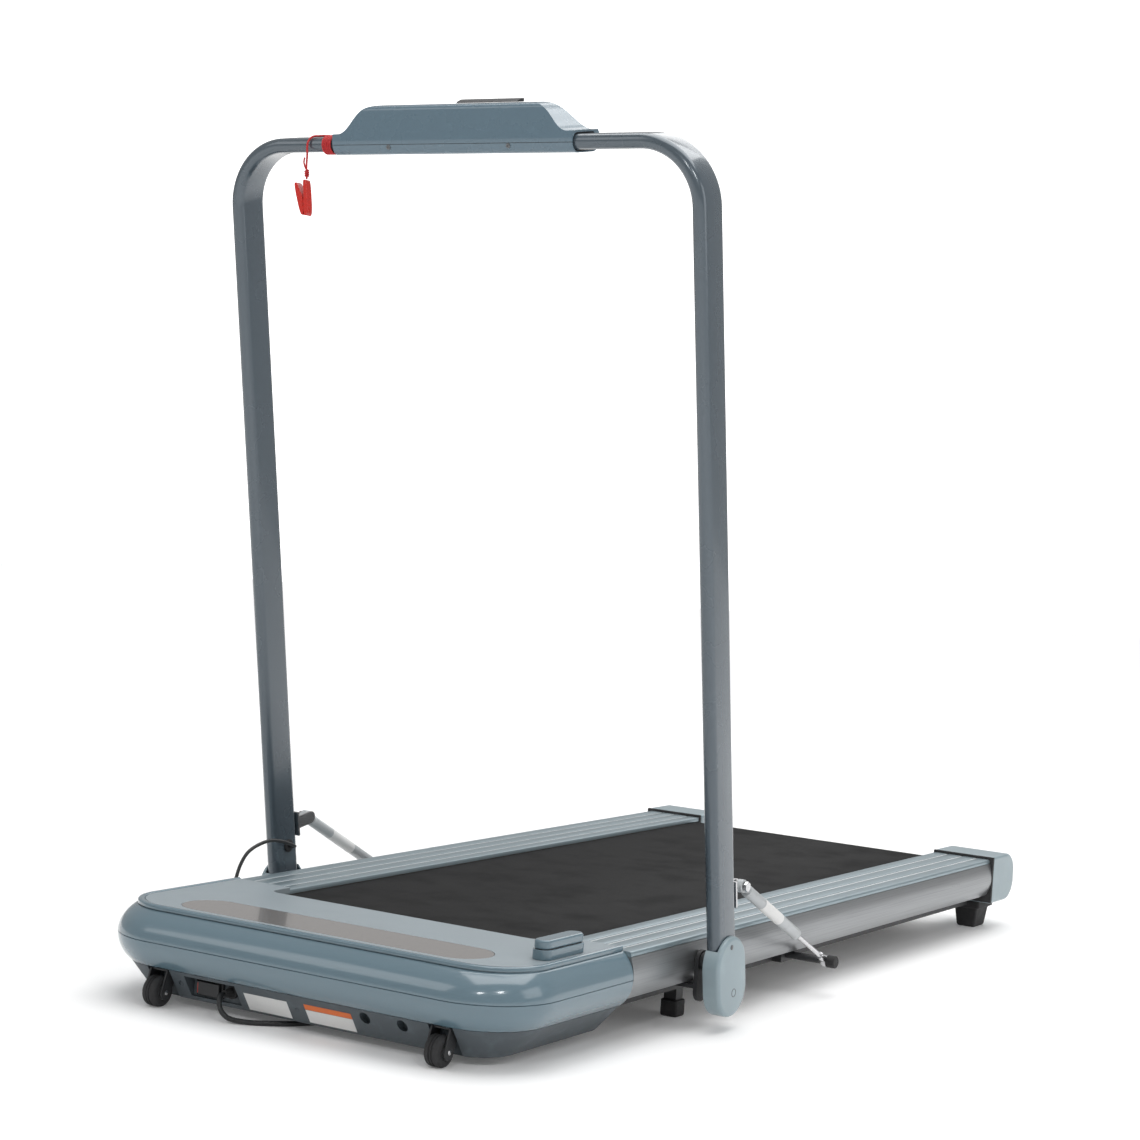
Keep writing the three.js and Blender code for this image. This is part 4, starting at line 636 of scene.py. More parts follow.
carve(panel, flat_plate(round_box(*WINDOW, corner=22) * [1.001, 1.0], PANEL_TOP - 1.5, PANEL_TOP + 2))

smoked = Paint("taupe_window", (0.19, 0.175, 0.165), 0.16, Coat_Weight=0.5, Coat_Roughness=0.05)
smoked.set("Roughness", 0.14 + smoked.noise(60.0, 4.0).ramp(0.5, 0.8) * 0.1)
smoked.set("Base Color", smoked.tint(smoked.noise(2500.0, 1.0).ramp(0.4, 0.8), 1.08))
x0, x1, y0, y1, r = WINDOW
piece(
    "panel_window", [
        flat_plate(
            round_box(x0 + 0.4, x1 - 0.4, y0 + 0.4, y1 - 0.4, r - 0.4, corner=22), 112.2, PANEL_TOP - 0.1
        ),
    ],
    "base", smoked, ["display_window"], bevel=0.35,
)

POD_MIDDLE = (259.6, -556.0)


def pod_tier(half_wide, half_long, r, low, high):
    """One tier of the pod, a flat block with round corners."""
    x, y = POD_MIDDLE
    return [flat_plate(round_box(x - half_wide, x + half_wide, y - half_long, y + half_long, r), low, high)]


pod_base = pod_tier(12.0, 43.6, 11.5, PANEL_TOP + 0.1, 125.2)
piece("pod_base_tier", pod_base, "base", gloss, ["corner_pod"], bevel=0.7)
piece(
    "pod_top_tier", pod_tier(10.6, 42.2, 10.4, 125.6, 136.0), "base", gloss, bevel=2.6, steps=5
)
piece("pod_seam", pod_tier(9.6, 41.2, 9.4, 124.5, 126.5), "base", soft_rubber)

# ------------------------------------------------------------------ base tub
# A slate-coloured textured moulding under the hood, with a recess for the switch and the cord,
# two pockets for the wheels, small vent holes and sunken screws.
slate = Paint("slate_textured_abs", (0.068, 0.083, 0.094), 0.5)
slate.uneven((0.44, 0.16, 1300.0, 4.0), (0.00012, 1300.0, 4.0), (1.35, 0.45, 0.8, 55.0, 5.0))


def tub_inset(z):
    """Inset of the tub's side and front walls, straight slopes from the seam down, round at the foot."""
    drop = 45.0 - z
    foot = 5.0 * (1 - math.sqrt(max(0.0, 1 - max(0.0, (14.0 - z) / 5.0) ** 2)))
    base = float(wall_inset(45.0))
    return base + drop * 0.92 + foot, base + drop * 0.66 + foot


levels = [44.85, 44.5] + list(np.linspace(43, 14, 10)) + list(
    9.0 + 5 * (1 - np.sin(np.linspace(0.25, 1.57, 7)))
)
tub_rings = np.stack([outline(z, *tub_inset(z)) for z in levels])
tub = piece("hood_tub", [skin(tub_rings)], "base", slate, ["base_tub"], bevel=0.5, steps=2)


def block(x0, x1, y0, y1, z0, z1, r=0.0):
    """A block, its upright corners rounded to r."""
    loop = round_box(x0, x1, y0, y1, r, 6) if r else [(x0, y0), (x1, y0), (x1, y1), (x0, y1)]
    return flat_plate(loop, z0, z1)


def bar(axis, r, start, end, a, b, sides=32):
    """A round bar along an axis, at the other two coordinates a and b, in their alphabetical order."""
    t = np.linspace(0, 2 * math.pi, sides, endpoint=False)
    u, v = a + r * np.cos(t), b + r * np.sin(t)
    order = {"x": (2, 0, 1), "y": (0, 2, 1), "z": (0, 1, 2)}[axis]
    rings = [np.column_stack([u, v, np.full(sides, float(w))])[:, order] for w in (start, end)]
    return skin(np.stack(rings))


OUTSIDE = FRONT - 28
RECESS = (-163.0, -88.0, OUTSIDE, -672.0, 16.0, 41.0)
WHEEL_SPOT, POCKET_HALF = np.array([200.0, -694.0, 18.0]), 16.4
VENT, SCREW_HOLE, SIDE_HOLE, TUB_SCREW_Y = (7, 34.8), 3.6, (5, 27), -560
carve(tub, block(*RECESS))
for x in (-WHEEL_SPOT[0], WHEEL_SPOT[0]):
    carve(tub, block(x - POCKET_HALF, x + POCKET_HALF, OUTSIDE, -664, 2, 60))
for x, r, z in ((95, *VENT), (146, *VENT), (-3, SCREW_HOLE, 26), (-172, SCREW_HOLE, 30), (252, *SIDE_HOLE)):
    carve(tub, bar("y", r, OUTSIDE, -676 if x > 50 else -683, x, z, 24))
for x in (-240, -60, 60, 240):
    carve(tub, bar("z", 4.5, 4, 14.5, x, TUB_SCREW_Y, 20))
    screw = bar("z", 3.9, 12.2, 13.8, x, TUB_SCREW_Y, 20)
    piece(f"tub_screw_{x + 300}", [screw], "base", soft_rubber, bevel=0.4, steps=2)


def prism(loop, axis, low, high):
    """A closed outline carried straight along one axis; its points are the other two coordinates."""
    loop = np.asarray(loop, float)
    order = {"x": (2, 0, 1), "y": (0, 2, 1), "z": (0, 1, 2)}[axis]
    rings = [np.column_stack([loop, np.full(len(loop), float(w))])[:, order] for w in (low, high)]
    return skin(np.stack(rings))


def moved(part, turn_points):
    """A part with its points sent through a function."""
    return turn_points(part[0]), part[1]


def lathe(profile, sides=40):
    """A surface turned round the first axis: profile rows are distance along it and radius."""
    profile = np.asarray(profile, float)
    t = np.linspace(0, 2 * math.pi, sides, endpoint=False)
    along = np.repeat(profile[:, :1], sides, 1)
    return skin(np.stack([along, profile[:, 1:] * np.cos(t), profile[:, 1:] * np.sin(t)], -1))


def dress(node, paint, bevel=0.0):
    """A CAD solid kept as it is, in its own material, with its edges rounded by bevel mm."""
    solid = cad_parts[node]
    solid.data.materials.clear()
    solid.data.materials.append(paint.material)
    if bevel:
        edge = solid.modifiers.new("rounded_edges", "BEVEL")
        edge.width, edge.segments, edge.limit_method = bevel * MM, 2, "ANGLE"
        edge.angle_limit = math.radians(40)


# plain stickers on the tub's front wall, and the switch, its plate and the cord's gland in the recess
paper = Paint("white_sticker", (0.72, 0.72, 0.71), 0.45)
paper.set("Base Color", paper.tint(paper.noise(300.0, 3.0), 0.93))
orange = Paint("orange_sticker", (0.72, 0.16, 0.035), 0.45)
orange.set("Base Color", orange.tint(orange.noise(300.0, 3.0), 0.9))


def sticker(name, x0, x1, z0, z1, paint, proud=0.35):
    """A thin plate on the tub's sloping front wall."""
    corners = []
    for out in (proud, -0.4):
        for x, z in ((x0, z0), (x1, z0), (x1, z1), (x0, z1)):
            corners.append((x, FRONT + tub_inset(z)[1] - out, z))
    piece(name, [skin(np.array(corners).reshape(2, 4, 3))], "base", paint)


sticker("sticker_plain", -77, -15, 13.5, 35, paper)
sticker("sticker_low", 10, 76, 13.5, 29.4, paper)
sticker("sticker_band", 10, 76, 29.8, 36.5, orange)

glossy_black = Paint("glossy_black_plastic", (0.014, 0.014, 0.015), 0.2)
glossy_black.set("Roughness", 0.16 + glossy_black.noise(120.0, 4.0).ramp(0.4, 0.8) * 0.16)
glossy_black.bump(glossy_black.noise(900.0, 2.0), 0.00002)
black_plastic = Paint("black_plastic", (0.022, 0.023, 0.025), 0.45)
black_plastic.uneven((0.38, 0.2, 1200.0, 3.0), (0.00006, 1500.0, 3.0))
bezel = piece(
    "switch_plate", [block(-156.5, -117.5, -674.8, -672.3, 18.3, 38.3, 3)], "base", black_plastic,
    ["switch_bezel"], bevel=0.5, steps=2,
)
carve(bezel, block(-153.8, -120.2, -680, -667, 20.6, 35.2, 0.6))
red_plastic = Paint("red_rocker_plastic", (0.5, 0.02, 0.012), 0.25)
red_plastic.uneven((0.2, 0.14, 200.0, 4.0), (0.00002, 1300.0, 2.0))
rocker_loop = [
    (-152, -680.2), (-148, -679.4), (-144, -678.4), (-140, -677.4), (-137, -676.9), (-132, -676.9),
    (-127, -677.1), (-122, -677.4), (-124, -666), (-150, -669),
]
piece(
    "rocker_key", [prism(rocker_loop, "z", 21.4, 34.4)], "rocker", red_plastic, ["rocker_switch"],
    bevel=0.6,
)
ripple = np.linspace(0, 1, 61)
sleeve = np.column_stack(
    [-677.5 - 12.6 * ripple, 6.1 - 1.8 * ripple - 0.55 * (np.sin(ripple * 2 * math.pi * 6) < -0.2)]
)
sleeve = np.concatenate([[(-672.3, 7.6), (-676.6, 7.8), (-677.3, 7.0)], sleeve, [(-690.3, 3.5)]])
gland = lathe(sleeve, 36)
piece(
    "cord_strain_relief", [moved(gland, lambda p: p[:, [1, 0, 2]] + [GLAND[0], 0, GLAND[2]])],
    "base", soft_rubber, ["cord_gland"],
)

# two-pin plug on the end of the mains cord: a ribbed neck growing into a soft square body
plug_rings = []
for along, wide, high, r in (
    (-2, 3.6, 3.6, 3.4), (0, 5, 5, 3.6), (2.6, 5.2, 5.2, 3.6), (3.0, 4.4, 4.4, 3.4), (4.4, 4.6, 4.6, 3.4),
    (4.8, 6.2, 6.0, 4), (7.4, 6.6, 6.2, 4), (7.8, 5.6, 5.4, 4), (9.2, 6.2, 5.8, 4), (9.6, 8.8, 7.6, 4.6),
    (13, 11, 8.6, 5), (18, 14.4, 9.8, 5.4), (24, 17, 10.6, 5.8), (30, 17.8, 10.9, 6), (33.5, 18, 11, 6),
    (35, 17.2, 10.2, 5.6), (35.4, 16, 9, 5),
):
    section = round_box(-wide, wide, -high, high, min(r, high - 0.1), 6)
    plug_rings.append(np.column_stack([section[:, 0], np.full(len(section), -along), section[:, 1]]))
plug = piece(
    "mains_plug_body", [skin(np.stack(plug_rings) + PLUG)], "base", black_plastic,
    ["mains_plug"], sharp=50,
)
bright = Paint("bright_steel", (0.62, 0.62, 0.63), 0.16, metallic=1.0)
bright.set("Roughness", 0.12 + bright.noise(4.0, 6.0, bright.stretched((60.0, 60.0, 900.0))) * 0.18)
bright.bump(bright.noise(700.0, 3.0), 0.00002)
pin = lathe([(34.8, 2.2), (52.6, 2.2), (53.6, 1.7), (54, 0.8)], 24)
pins = [moved(pin, lambda p: p[:, [1, 0, 2]] * [1, -1, 1] + PLUG + [dx, 0, 0]) for dx in (-9.5, 9.5)]
plug_pins = piece("mains_plug_pins", pins, "base", bright)

# ------------------------------------------------------------------ transport wheels
# Two narrow rubber wheels with grey hubs, in bent black forks at the hood's front corners.
hub_grey = Paint("grey_hub_plastic", (0.12, 0.125, 0.13), 0.4)
hub_grey.uneven((0.34, 0.2, 700.0, 3.0), (0.00004, 1400.0, 2.0))
tread = [
    (-9.9, 9.5), (-9.9, 13.4), (-9.5, 15.2), (-8.3, 17.0), (-6.6, 17.9), (-3.0, 18.0), (-2.4, 16.9),
    (-1.2, 16.9), (-0.6, 18.0),
]
tyre = np.array(tread + [(-a, r) for a, r in tread[::-1]] + [(9.0, 9.0), (-9.0, 9.0)])
disc = [(-9.4, 3.2), (-9.4, 4.4), (-8.0, 5.0), (-8.0, 8.4), (-9.5, 8.8), (-9.5, 9.6)]
disc = np.array(disc + [(-a, r) for a, r in disc[::-1]])
axle_half = [(-14.5, 2.4), (-14.2, 3.0), (-13.2, 3.0), (-13.2, 2.6)]
ear_turn = np.linspace(-math.pi, 0, 20)
ear = np.concatenate([np.column_stack([9 * np.cos(ear_turn), 9 * np.sin(ear_turn)]), [(22, 25.8), (1, 25.8)]])


def turned_ring(profile, sides=48):
    """A closed profile turned full circle round the first axis."""
    t = np.linspace(0, 2 * math.pi, sides, endpoint=False)
    p = np.asarray(profile, float)
    grid = np.stack([np.repeat(p[:, :1], sides, 1), p[:, 1:] * np.cos(t), p[:, 1:] * np.sin(t)], -1)
    return skin(grid, ring=True)


for side, word in ((-1, "left"), (1, "right")):
    spot = WHEEL_SPOT * [side, 1, 1]
    place = lambda p: p + spot
    piece(
        f"wheel_tyre_{word}", [moved(turned_ring(tyre), place)], f"wheel_{word}", soft_rubber,
        [f"transport_wheel_{word}"],
    )
    piece(f"wheel_hub_{word}", [moved(turned_ring(disc), place)], f"wheel_{word}", hub_grey)
    plates = [prism(ear, "x", 11, 13.4), prism(ear, "x", -13.4, -11), block(-11.4, 11.4, 3.2, 22, 23.4, 25.8)]
    axle = lathe(axle_half + [(-a, r) for a, r in axle_half[::-1]], 24)
    piece(
        f"wheel_fork_{word}", [moved(p, place) for p in plates], "base", black_plastic,
        [f"wheel_fork_{word}"], bevel=0.5, steps=2,
    )
    piece(f"wheel_axle_{word}", [moved(axle, place)], "base", bright)

# ------------------------------------------------------------------ foot rails, side panels and end caps
# Each side is a flat painted aluminium rail with three grooves, over a bowed silver side
# panel. A moulded cap closes both at the rear, with a dark gasket against them.
RAIL_FRONT, RAIL_REAR, RAIL_TOP = -452.4, 624.7, 109.0
GROOVES = (226.5, 250.0, 273.5)
groove = np.linspace(math.pi, 0, 9)
rail_top = [(205.2, 103.2), (205.2, 107.6), (205.6, 108.6), (206.6, 109)]
for middle in GROOVES:
    rail_top += [(middle - 2.6, RAIL_TOP)]
    rail_top += list(zip(middle + 2.1 * np.cos(groove), RAIL_TOP - 0.2 - 1.6 * np.sin(groove)))
    rail_top += [(middle + 2.6, RAIL_TOP)]
rail_edge = np.linspace(math.pi / 2, 0, 8)
rail_top += list(zip(292 + 2.9 * np.cos(rail_edge), 106 + 3 * np.sin(rail_edge)))
rail_top += [(294.9, 103.4), (294.5, 103.1)]
rail_loop = np.array(rail_top)
# a pale strip sunk in each groove: its near-white colour is a painted highlight along the groove
highlight_strip = np.array([(-1.9, -1.9), (1.9, -1.9), (1.8, -0.7), (-1.8, -0.7)])
rail_paint = Paint("pale_blue_anodised", (0.25, 0.315, 0.345), 0.3, metallic=0.55)
rail_paint.uneven(
    (0.22, 0.2, 1.0, 5.0), (0.00003, 1.0, 5.0), (1.25, 0.45, 0.8, 1.0, 5.0), (900.0, 6.0, 900.0)
)
# near-white paint for the groove strips: a painted highlight
groove_highlight_paint = Paint("painted_groove_highlight", (0.85, 0.87, 0.88), 0.25, metallic=0.4)
groove_highlight_paint.set(
    "Roughness", 0.2 + groove_highlight_paint.noise(1.0, 4.0, groove_highlight_paint.stretched((900.0, 8.0, 900.0))) * 0.2
)
groove_highlight_paint.bump(groove_highlight_paint.noise(900.0, 2.0), 0.00002)
silver = Paint("silver_side_extrusion", (0.3, 0.31, 0.32), 0.3, metallic=0.75)
silver.uneven((0.22, 0.22, 1.0, 5.0), (0.00003, 1.0, 5.0), (0.82, 0.4, 0.8, 1.0, 5.0), (700.0, 5.0, 700.0))
bow = np.linspace(-1, 1, 25)
bow_x = 295 + 5 * (1 - bow**2) - np.where(bow < 0, 4 * bow**2, 0)
SIDE_MIDDLE, SIDE_HALF, SIDE_EDGE, SIDE_WALL = 78.35, 24.35, 265.2, 2.2
bow_out = np.column_stack([bow_x, SIDE_MIDDLE + SIDE_HALF * bow])
bow_in = np.column_stack([bow_x - SIDE_WALL, SIDE_MIDDLE + 22.2 * bow])[::-1]
side_loop = np.concatenate(
    [[(SIDE_EDGE, 54.2)], bow_out, [(SIDE_EDGE, 102.6), (SIDE_EDGE, 100.6)], bow_in, [(SIDE_EDGE, 56.4)]]
)
cap_paint = Paint("pale_blue_cap", (0.24, 0.31, 0.34), 0.3, Coat_Weight=0.3, Coat_Roughness=0.15)
cap_paint.uneven((0.26, 0.14, 900.0, 3.0), (0.00004, 1300.0, 2.0), (1.12, 0.45, 0.8, 30.0, 4.0))
cap_arc = np.linspace(-math.pi / 2, math.pi / 2, 34)
cap_back = np.where(cap_arc < 0, 72.0, 83.0)
CAP_FRONT, CAP_R = 625.0, 30
cap_round = np.column_stack([682 + CAP_R * np.cos(cap_arc), cap_back + CAP_R * np.sin(cap_arc)])
cap_loop = np.concatenate([[(CAP_FRONT, 42.0)], cap_round, [(CAP_FRONT, 113.0)]])
REAR_FOOT, FRONT_FOOT = (255.5, 659.0), (251, -265)


def foot(at, steps):
    """A soft foot under one spot: a stack of square sections, each with its half width, half length
    and height."""
    loops = [round_box(at[0] - h, at[0] + h, at[1] - k, at[1] + k, 3, 6) for h, k, _ in steps]
    return skin(np.stack([np.column_stack([p, np.full(len(p), z)]) for p, (_, _, z) in zip(loops, steps)]))


rear_steps = [
    (13, 18, 0.2), (14, 19, 1.2), (15, 20, 4), (18, 23, 28), (19, 23.4, 29), (23, 28, 31), (23, 28, 41.6),
]
front_steps = [(9.6, 9.6, 0.2), (11, 11, 0.8), (11.5, 11.5, 3), (11.5, 11.5, 20), (10.5, 10.5, 20.8)]
for side, word in ((-1, "left"), (1, "right")):
    flip = lambda p: p * [side, 1, 1]
    piece(
        f"rail_{word}", [moved(prism(rail_loop, "y", RAIL_FRONT, RAIL_REAR), flip)], "base", rail_paint,
        [f"foot_rail_{word}"],
    )
    # the painted highlight strips in the three grooves
    highlight_strips = [
        moved(prism(highlight_strip + [middle, RAIL_TOP], "y", RAIL_FRONT + 1, RAIL_REAR), flip) for middle in GROOVES
    ]
    piece(f"rail_highlight_strips_{word}", highlight_strips, "base", groove_highlight_paint)
    piece(
        f"side_{word}", [moved(prism(side_loop, "y", RAIL_FRONT, RAIL_REAR), flip)], "base", silver,
        [f"side_panel_{word}"],
    )
    piece(
        f"cap_{word}", [moved(prism(cap_loop, "x", 203.2, 299.8), flip)], "base", cap_paint,
        [f"end_cap_{word}"], bevel=4.5, steps=5,
    )
    piece(
        f"gasket_{word}", [moved(block(203.6, 300.6, 621.4, 626.5, 44, 112.6), flip)], "base", soft_rubber,
        bevel=0.6, steps=2,
    )
    for name, at, steps, bevel in (
        ("rear_foot", REAR_FOOT, rear_steps, 0.6),
        ("front_foot", FRONT_FOOT, front_steps, 0.4),
    ):
        sole = moved(foot(at, steps), flip)
        made = f"{name}_{word}"
        piece(made, [sole], "base", soft_rubber, [made], bevel=bevel, steps=2)

# ------------------------------------------------------------------ running belt
# An endless black PVC belt with a fine woven top, round a roller at each end.
BELT_R_OUT, BELT_R_IN, BELT_HALF, ROLLER_HIGH = 21.1, 19.5, 200.0, 82.9
ROLLER_FRONT, ROLLER_REAR = -535, 603
half_turn = np.linspace(0, math.pi, 30)
straight = np.linspace(ROLLER_FRONT, ROLLER_REAR, 90)[1:-1]


def belt_round(r):
    """The belt's path seen from the side: over the top, round the rear roller, back below and
    round the front one."""
    rear = np.column_stack([ROLLER_REAR + r * np.sin(half_turn), ROLLER_HIGH + r * np.cos(half_turn)])
    front = np.column_stack([ROLLER_FRONT - r * np.sin(half_turn), ROLLER_HIGH - r * np.cos(half_turn)])
    high = np.column_stack([straight, np.full(len(straight), ROLLER_HIGH + r)])
    low = np.column_stack([straight[::-1], np.full(len(straight), ROLLER_HIGH - r)])
    return np.concatenate([high, rear, low, front])


outer, inner = belt_round(BELT_R_OUT), belt_round(BELT_R_IN)
# across the belt: place and how far the face has rounded towards the other one
across = [(-BELT_HALF, 0.35), (0.6 - BELT_HALF, 0.0), (BELT_HALF - 0.6, 0.0), (BELT_HALF, 0.35)]
columns = [np.column_stack([np.full(len(outer), x), outer + (inner - outer) * s]) for x, s in across]
columns += [np.column_stack([np.full(len(outer), x), inner + (outer - inner) * s]) for x, s in across[::-1]]
belt_paint = Paint("black_woven_belt", (0.006, 0.006, 0.0063), 0.62, Specular_IOR_Level=0.12)
warp, weft = [(place * 2600.0).maths("SINE") for place in belt_paint.plan()]
weave = (warp * weft) * 0.5 + 0.5
belt_paint.set("Roughness", 0.55 + weave * 0.12 + belt_paint.noise(14.0, 5.0).ramp(0.4, 0.75) * 0.1)
belt_paint.set("Base Color", belt_paint.tint(belt_paint.noise(25.0, 6.0).ramp(0.5, 0.8), 1.5))
belt_paint.bump(weave, 0.00012)
belt_grid = np.stack(columns, 1)
piece(
    "running_surface", [skin(belt_grid, ring=True)], "base", belt_paint, ["running_belt"],
    sharp=60,
)

# ------------------------------------------------------------------ frame and drive
# A welded, black-painted steel frame carries the board, the two rollers and the motor.
frame_paint = Paint("black_frame_paint", (0.02, 0.021, 0.023), 0.5)
frame_paint.uneven((0.4, 0.2, 600.0, 4.0), (0.00008, 1100.0, 3.0), (2.0, 0.55, 0.8, 20.0, 6.0))
wood = Paint("coated_fibreboard", (0.1, 0.07, 0.045), 0.55)
wood.uneven((0.45, 0.2, 1.0, 6.0), (0.0001, 1.0, 6.0), (1.6, 0.4, 0.7, 1.0, 6.0), (700.0, 60.0, 900.0))
machined = Paint("machined_steel", (0.45, 0.45, 0.46), 0.32, metallic=0.95)
machined.uneven((0.25, 0.22, 1.0, 5.0), (0.00003, 1.0, 5.0), stretch=(1500.0, 30.0, 30.0))
dress("chassis_frame", frame_paint, 1.2)
dress("deck_board", wood, 0.8)
dress("drive_belt", soft_rubber)
for node in ("motor", "motor_controller", "motor_pulley", "front_roller", "rear_roller"):
    dress(node, machined, 0.6)
for word in ("left", "right"):
    dress(f"hinge_bracket_{word}", frame_paint, 0.8)

# ------------------------------------------------------------------ folding handle
# One flat-oval steel tube bent into a U, painted dark blue-grey, hinged inside a moulded
# cover at each foot. A rubber grommet on the left lets the control cable in.
TUBE_X, TUBE_FOOT, BEND_R = 330.0, 46.0, 75.0


def oval_section(depth, thick, steps):
    """Closed flat oval, fore and aft first."""
    r = thick / 2
    t = np.linspace(-math.pi / 2, math.pi / 2, steps)
    rim = np.column_stack([depth / 2 - r + r * np.cos(t), r * np.sin(t)])
    return np.concatenate([rim, -rim])


quarter = np.linspace(0, math.pi / 2, 24)
rise = np.linspace(-TUBE_FOOT, BAR_HIGH - BEND_R, 14)[:-1]
left_x = np.concatenate([np.full(13, -TUBE_X), -TUBE_X + BEND_R * (1 - np.cos(quarter))])
left_z = np.concatenate([rise, BAR_HIGH - BEND_R + BEND_R * np.sin(quarter)])
left_a = np.concatenate([np.full(13, math.pi / 2), math.pi / 2 - quarter])
sx = np.concatenate([left_x, -left_x[::-1]])[:, None]
sz = np.concatenate([left_z, left_z[::-1]])[:, None]
sa = np.concatenate([left_a, -left_a[::-1]])[:, None]


def tube_rings(section):
    """A section, fore and aft first, carried along the U."""
    depth, out = section[:, 0], section[:, 1]
    return np.stack([sx - out * np.sin(sa), np.repeat(depth[None], len(sx), 0), sz + out * np.cos(sa)], -1)


tube_paint = Paint(
    "slate_blue_gloss_paint", (0.066, 0.088, 0.107), 0.26, metallic=0.25, Coat_Weight=0.7,
    Coat_Roughness=0.1,
)
tube_paint.uneven((0.24, 0.06, 18.0, 4.0), (0.000008, 420.0, 2.0), (1.2, 0.6, 0.8, 3200.0, 1.0))
TUBE_BORE = 3
outside = tube_rings(oval_section(TUBE_DEPTH, TUBE_THICK, 14))
bore = tube_rings(oval_section(TUBE_DEPTH - TUBE_BORE, TUBE_THICK - TUBE_BORE, 14))
wall_grid = np.concatenate([outside, bore[::-1]])
piece(
    "handle", [moved(skin(wall_grid, ring=True), on_handle)], "handle", tube_paint,
    ["handle_tube"], sharp=50,
)

grommet_rings = [
    (-324, 2.7), (-324, 5.8), (-321.2, 5.8), (-320.9, 8.3), (-319, 8.4), (-318.2, 7.4), (-318, 5.4),
    (-318.6, 2.8),
]
grommet = moved(turned_ring(grommet_rings), lambda p: on_handle(p + [0, 3, 56]))
piece("grommet", [grommet], "handle", soft_rubber, ["cable_grommet"])


def pill(r, drop, steps=24):
    """Stadium outline, upright: a half circle about the origin and one drop below it."""
    t = np.linspace(0, math.pi, steps)
    over = np.column_stack([r * np.cos(t), r * np.sin(t)])
    return np.concatenate([over, -over - [0, drop]])


cover_edge = [(323.4, 0.4), (323.8, 0.0), (340.5, 0.0)]
cover_edge += [(340.5 + 5 * math.sin(a), 5 * (1 - math.cos(a))) for a in np.linspace(0.15, math.pi / 2, 8)]
COVER_R, COVER_DROP = 35, 28
cover_grid = np.stack(
    [np.column_stack([np.full(48, x), pill(COVER_R - inset, COVER_DROP)]) for x, inset in cover_edge]
)
for side, word in ((-1, "left"), (1, "right")):
    flip = lambda p: on_handle(p * [side, 1, 1])
    cover = piece(
        f"cover_{word}", [moved(skin(cover_grid), flip)], "handle", cap_paint,
        [f"pivot_cover_{word}"],
    )
    hollow = prism(pill(COVER_R - 2.4, COVER_DROP), "x", 318, 343)
    slit = block(315, 339.4, -25.4, 25.4, 0, 50)
    carve(cover, moved(hollow, flip), moved(slit, flip))
    bolt = lathe([(345.0, 5.4), (345.7, 5.2), (345.9, 4.6), (345.4, 4.2), (345.3, 0.4)], 32)
    dot = lathe([(345.2, 3.2), (346.0, 3.0), (346.3, 2.2), (346.4, 0.4)], 28)
    piece(
        f"cover_bolt_{word}", [moved(bolt, lambda p: flip(p + [0, 1.0, -34.0]))], "handle", hub_grey,
    )
    piece(
        f"cover_dot_{word}", [moved(dot, lambda p: flip(p + [0, -1.5, 23.5]))], "handle", hub_grey,
    )

# ------------------------------------------------------------------ gas springs
# On each side a pale grey cylinder hangs from a chromed bracket on the upright, and its
# chromed rod ends in a chromed eye with a black cap on the frame's stud.
SPRING_TOP = np.array([330.0, -257.172, 169.544])
SPRING_PITCH = math.radians(-26.3745)
SPRING_LENGTH = 280.355
spring_paint = Paint("pale_grey_spring_paint", (0.44, 0.46, 0.47), 0.3, metallic=0.2)
spring_paint.uneven((0.26, 0.16, 300.0, 3.0), (0.00003, 900.0, 2.0), (0.85, 0.5, 0.8, 60.0, 5.0))


def spring_parts(side, parts):
    """Surfaces turned round the first axis, laid along the spring on one side."""

    def lay(p):
        c, s = math.cos(SPRING_PITCH), math.sin(SPRING_PITCH)
        x, y, z = p[:, 1], p[:, 0], p[:, 2]
        return np.column_stack([x, y * c - z * s, y * s + z * c]) + SPRING_TOP * [side, 1, 1]

    return [moved(part, lay) for part in parts]


EYE_BORE = 5.3


def eye(at, r, half):
    """A ring across the spring, at a place along it."""
    rim = [(-half, EYE_BORE), (-half, r - 0.8), (-half + 0.8, r)]
    ring = turned_ring(rim + [(-a, d) for a, d in rim[::-1]], 32)
    return moved(ring, lambda p: p[:, [1, 0, 2]] + [at, 0, 0])


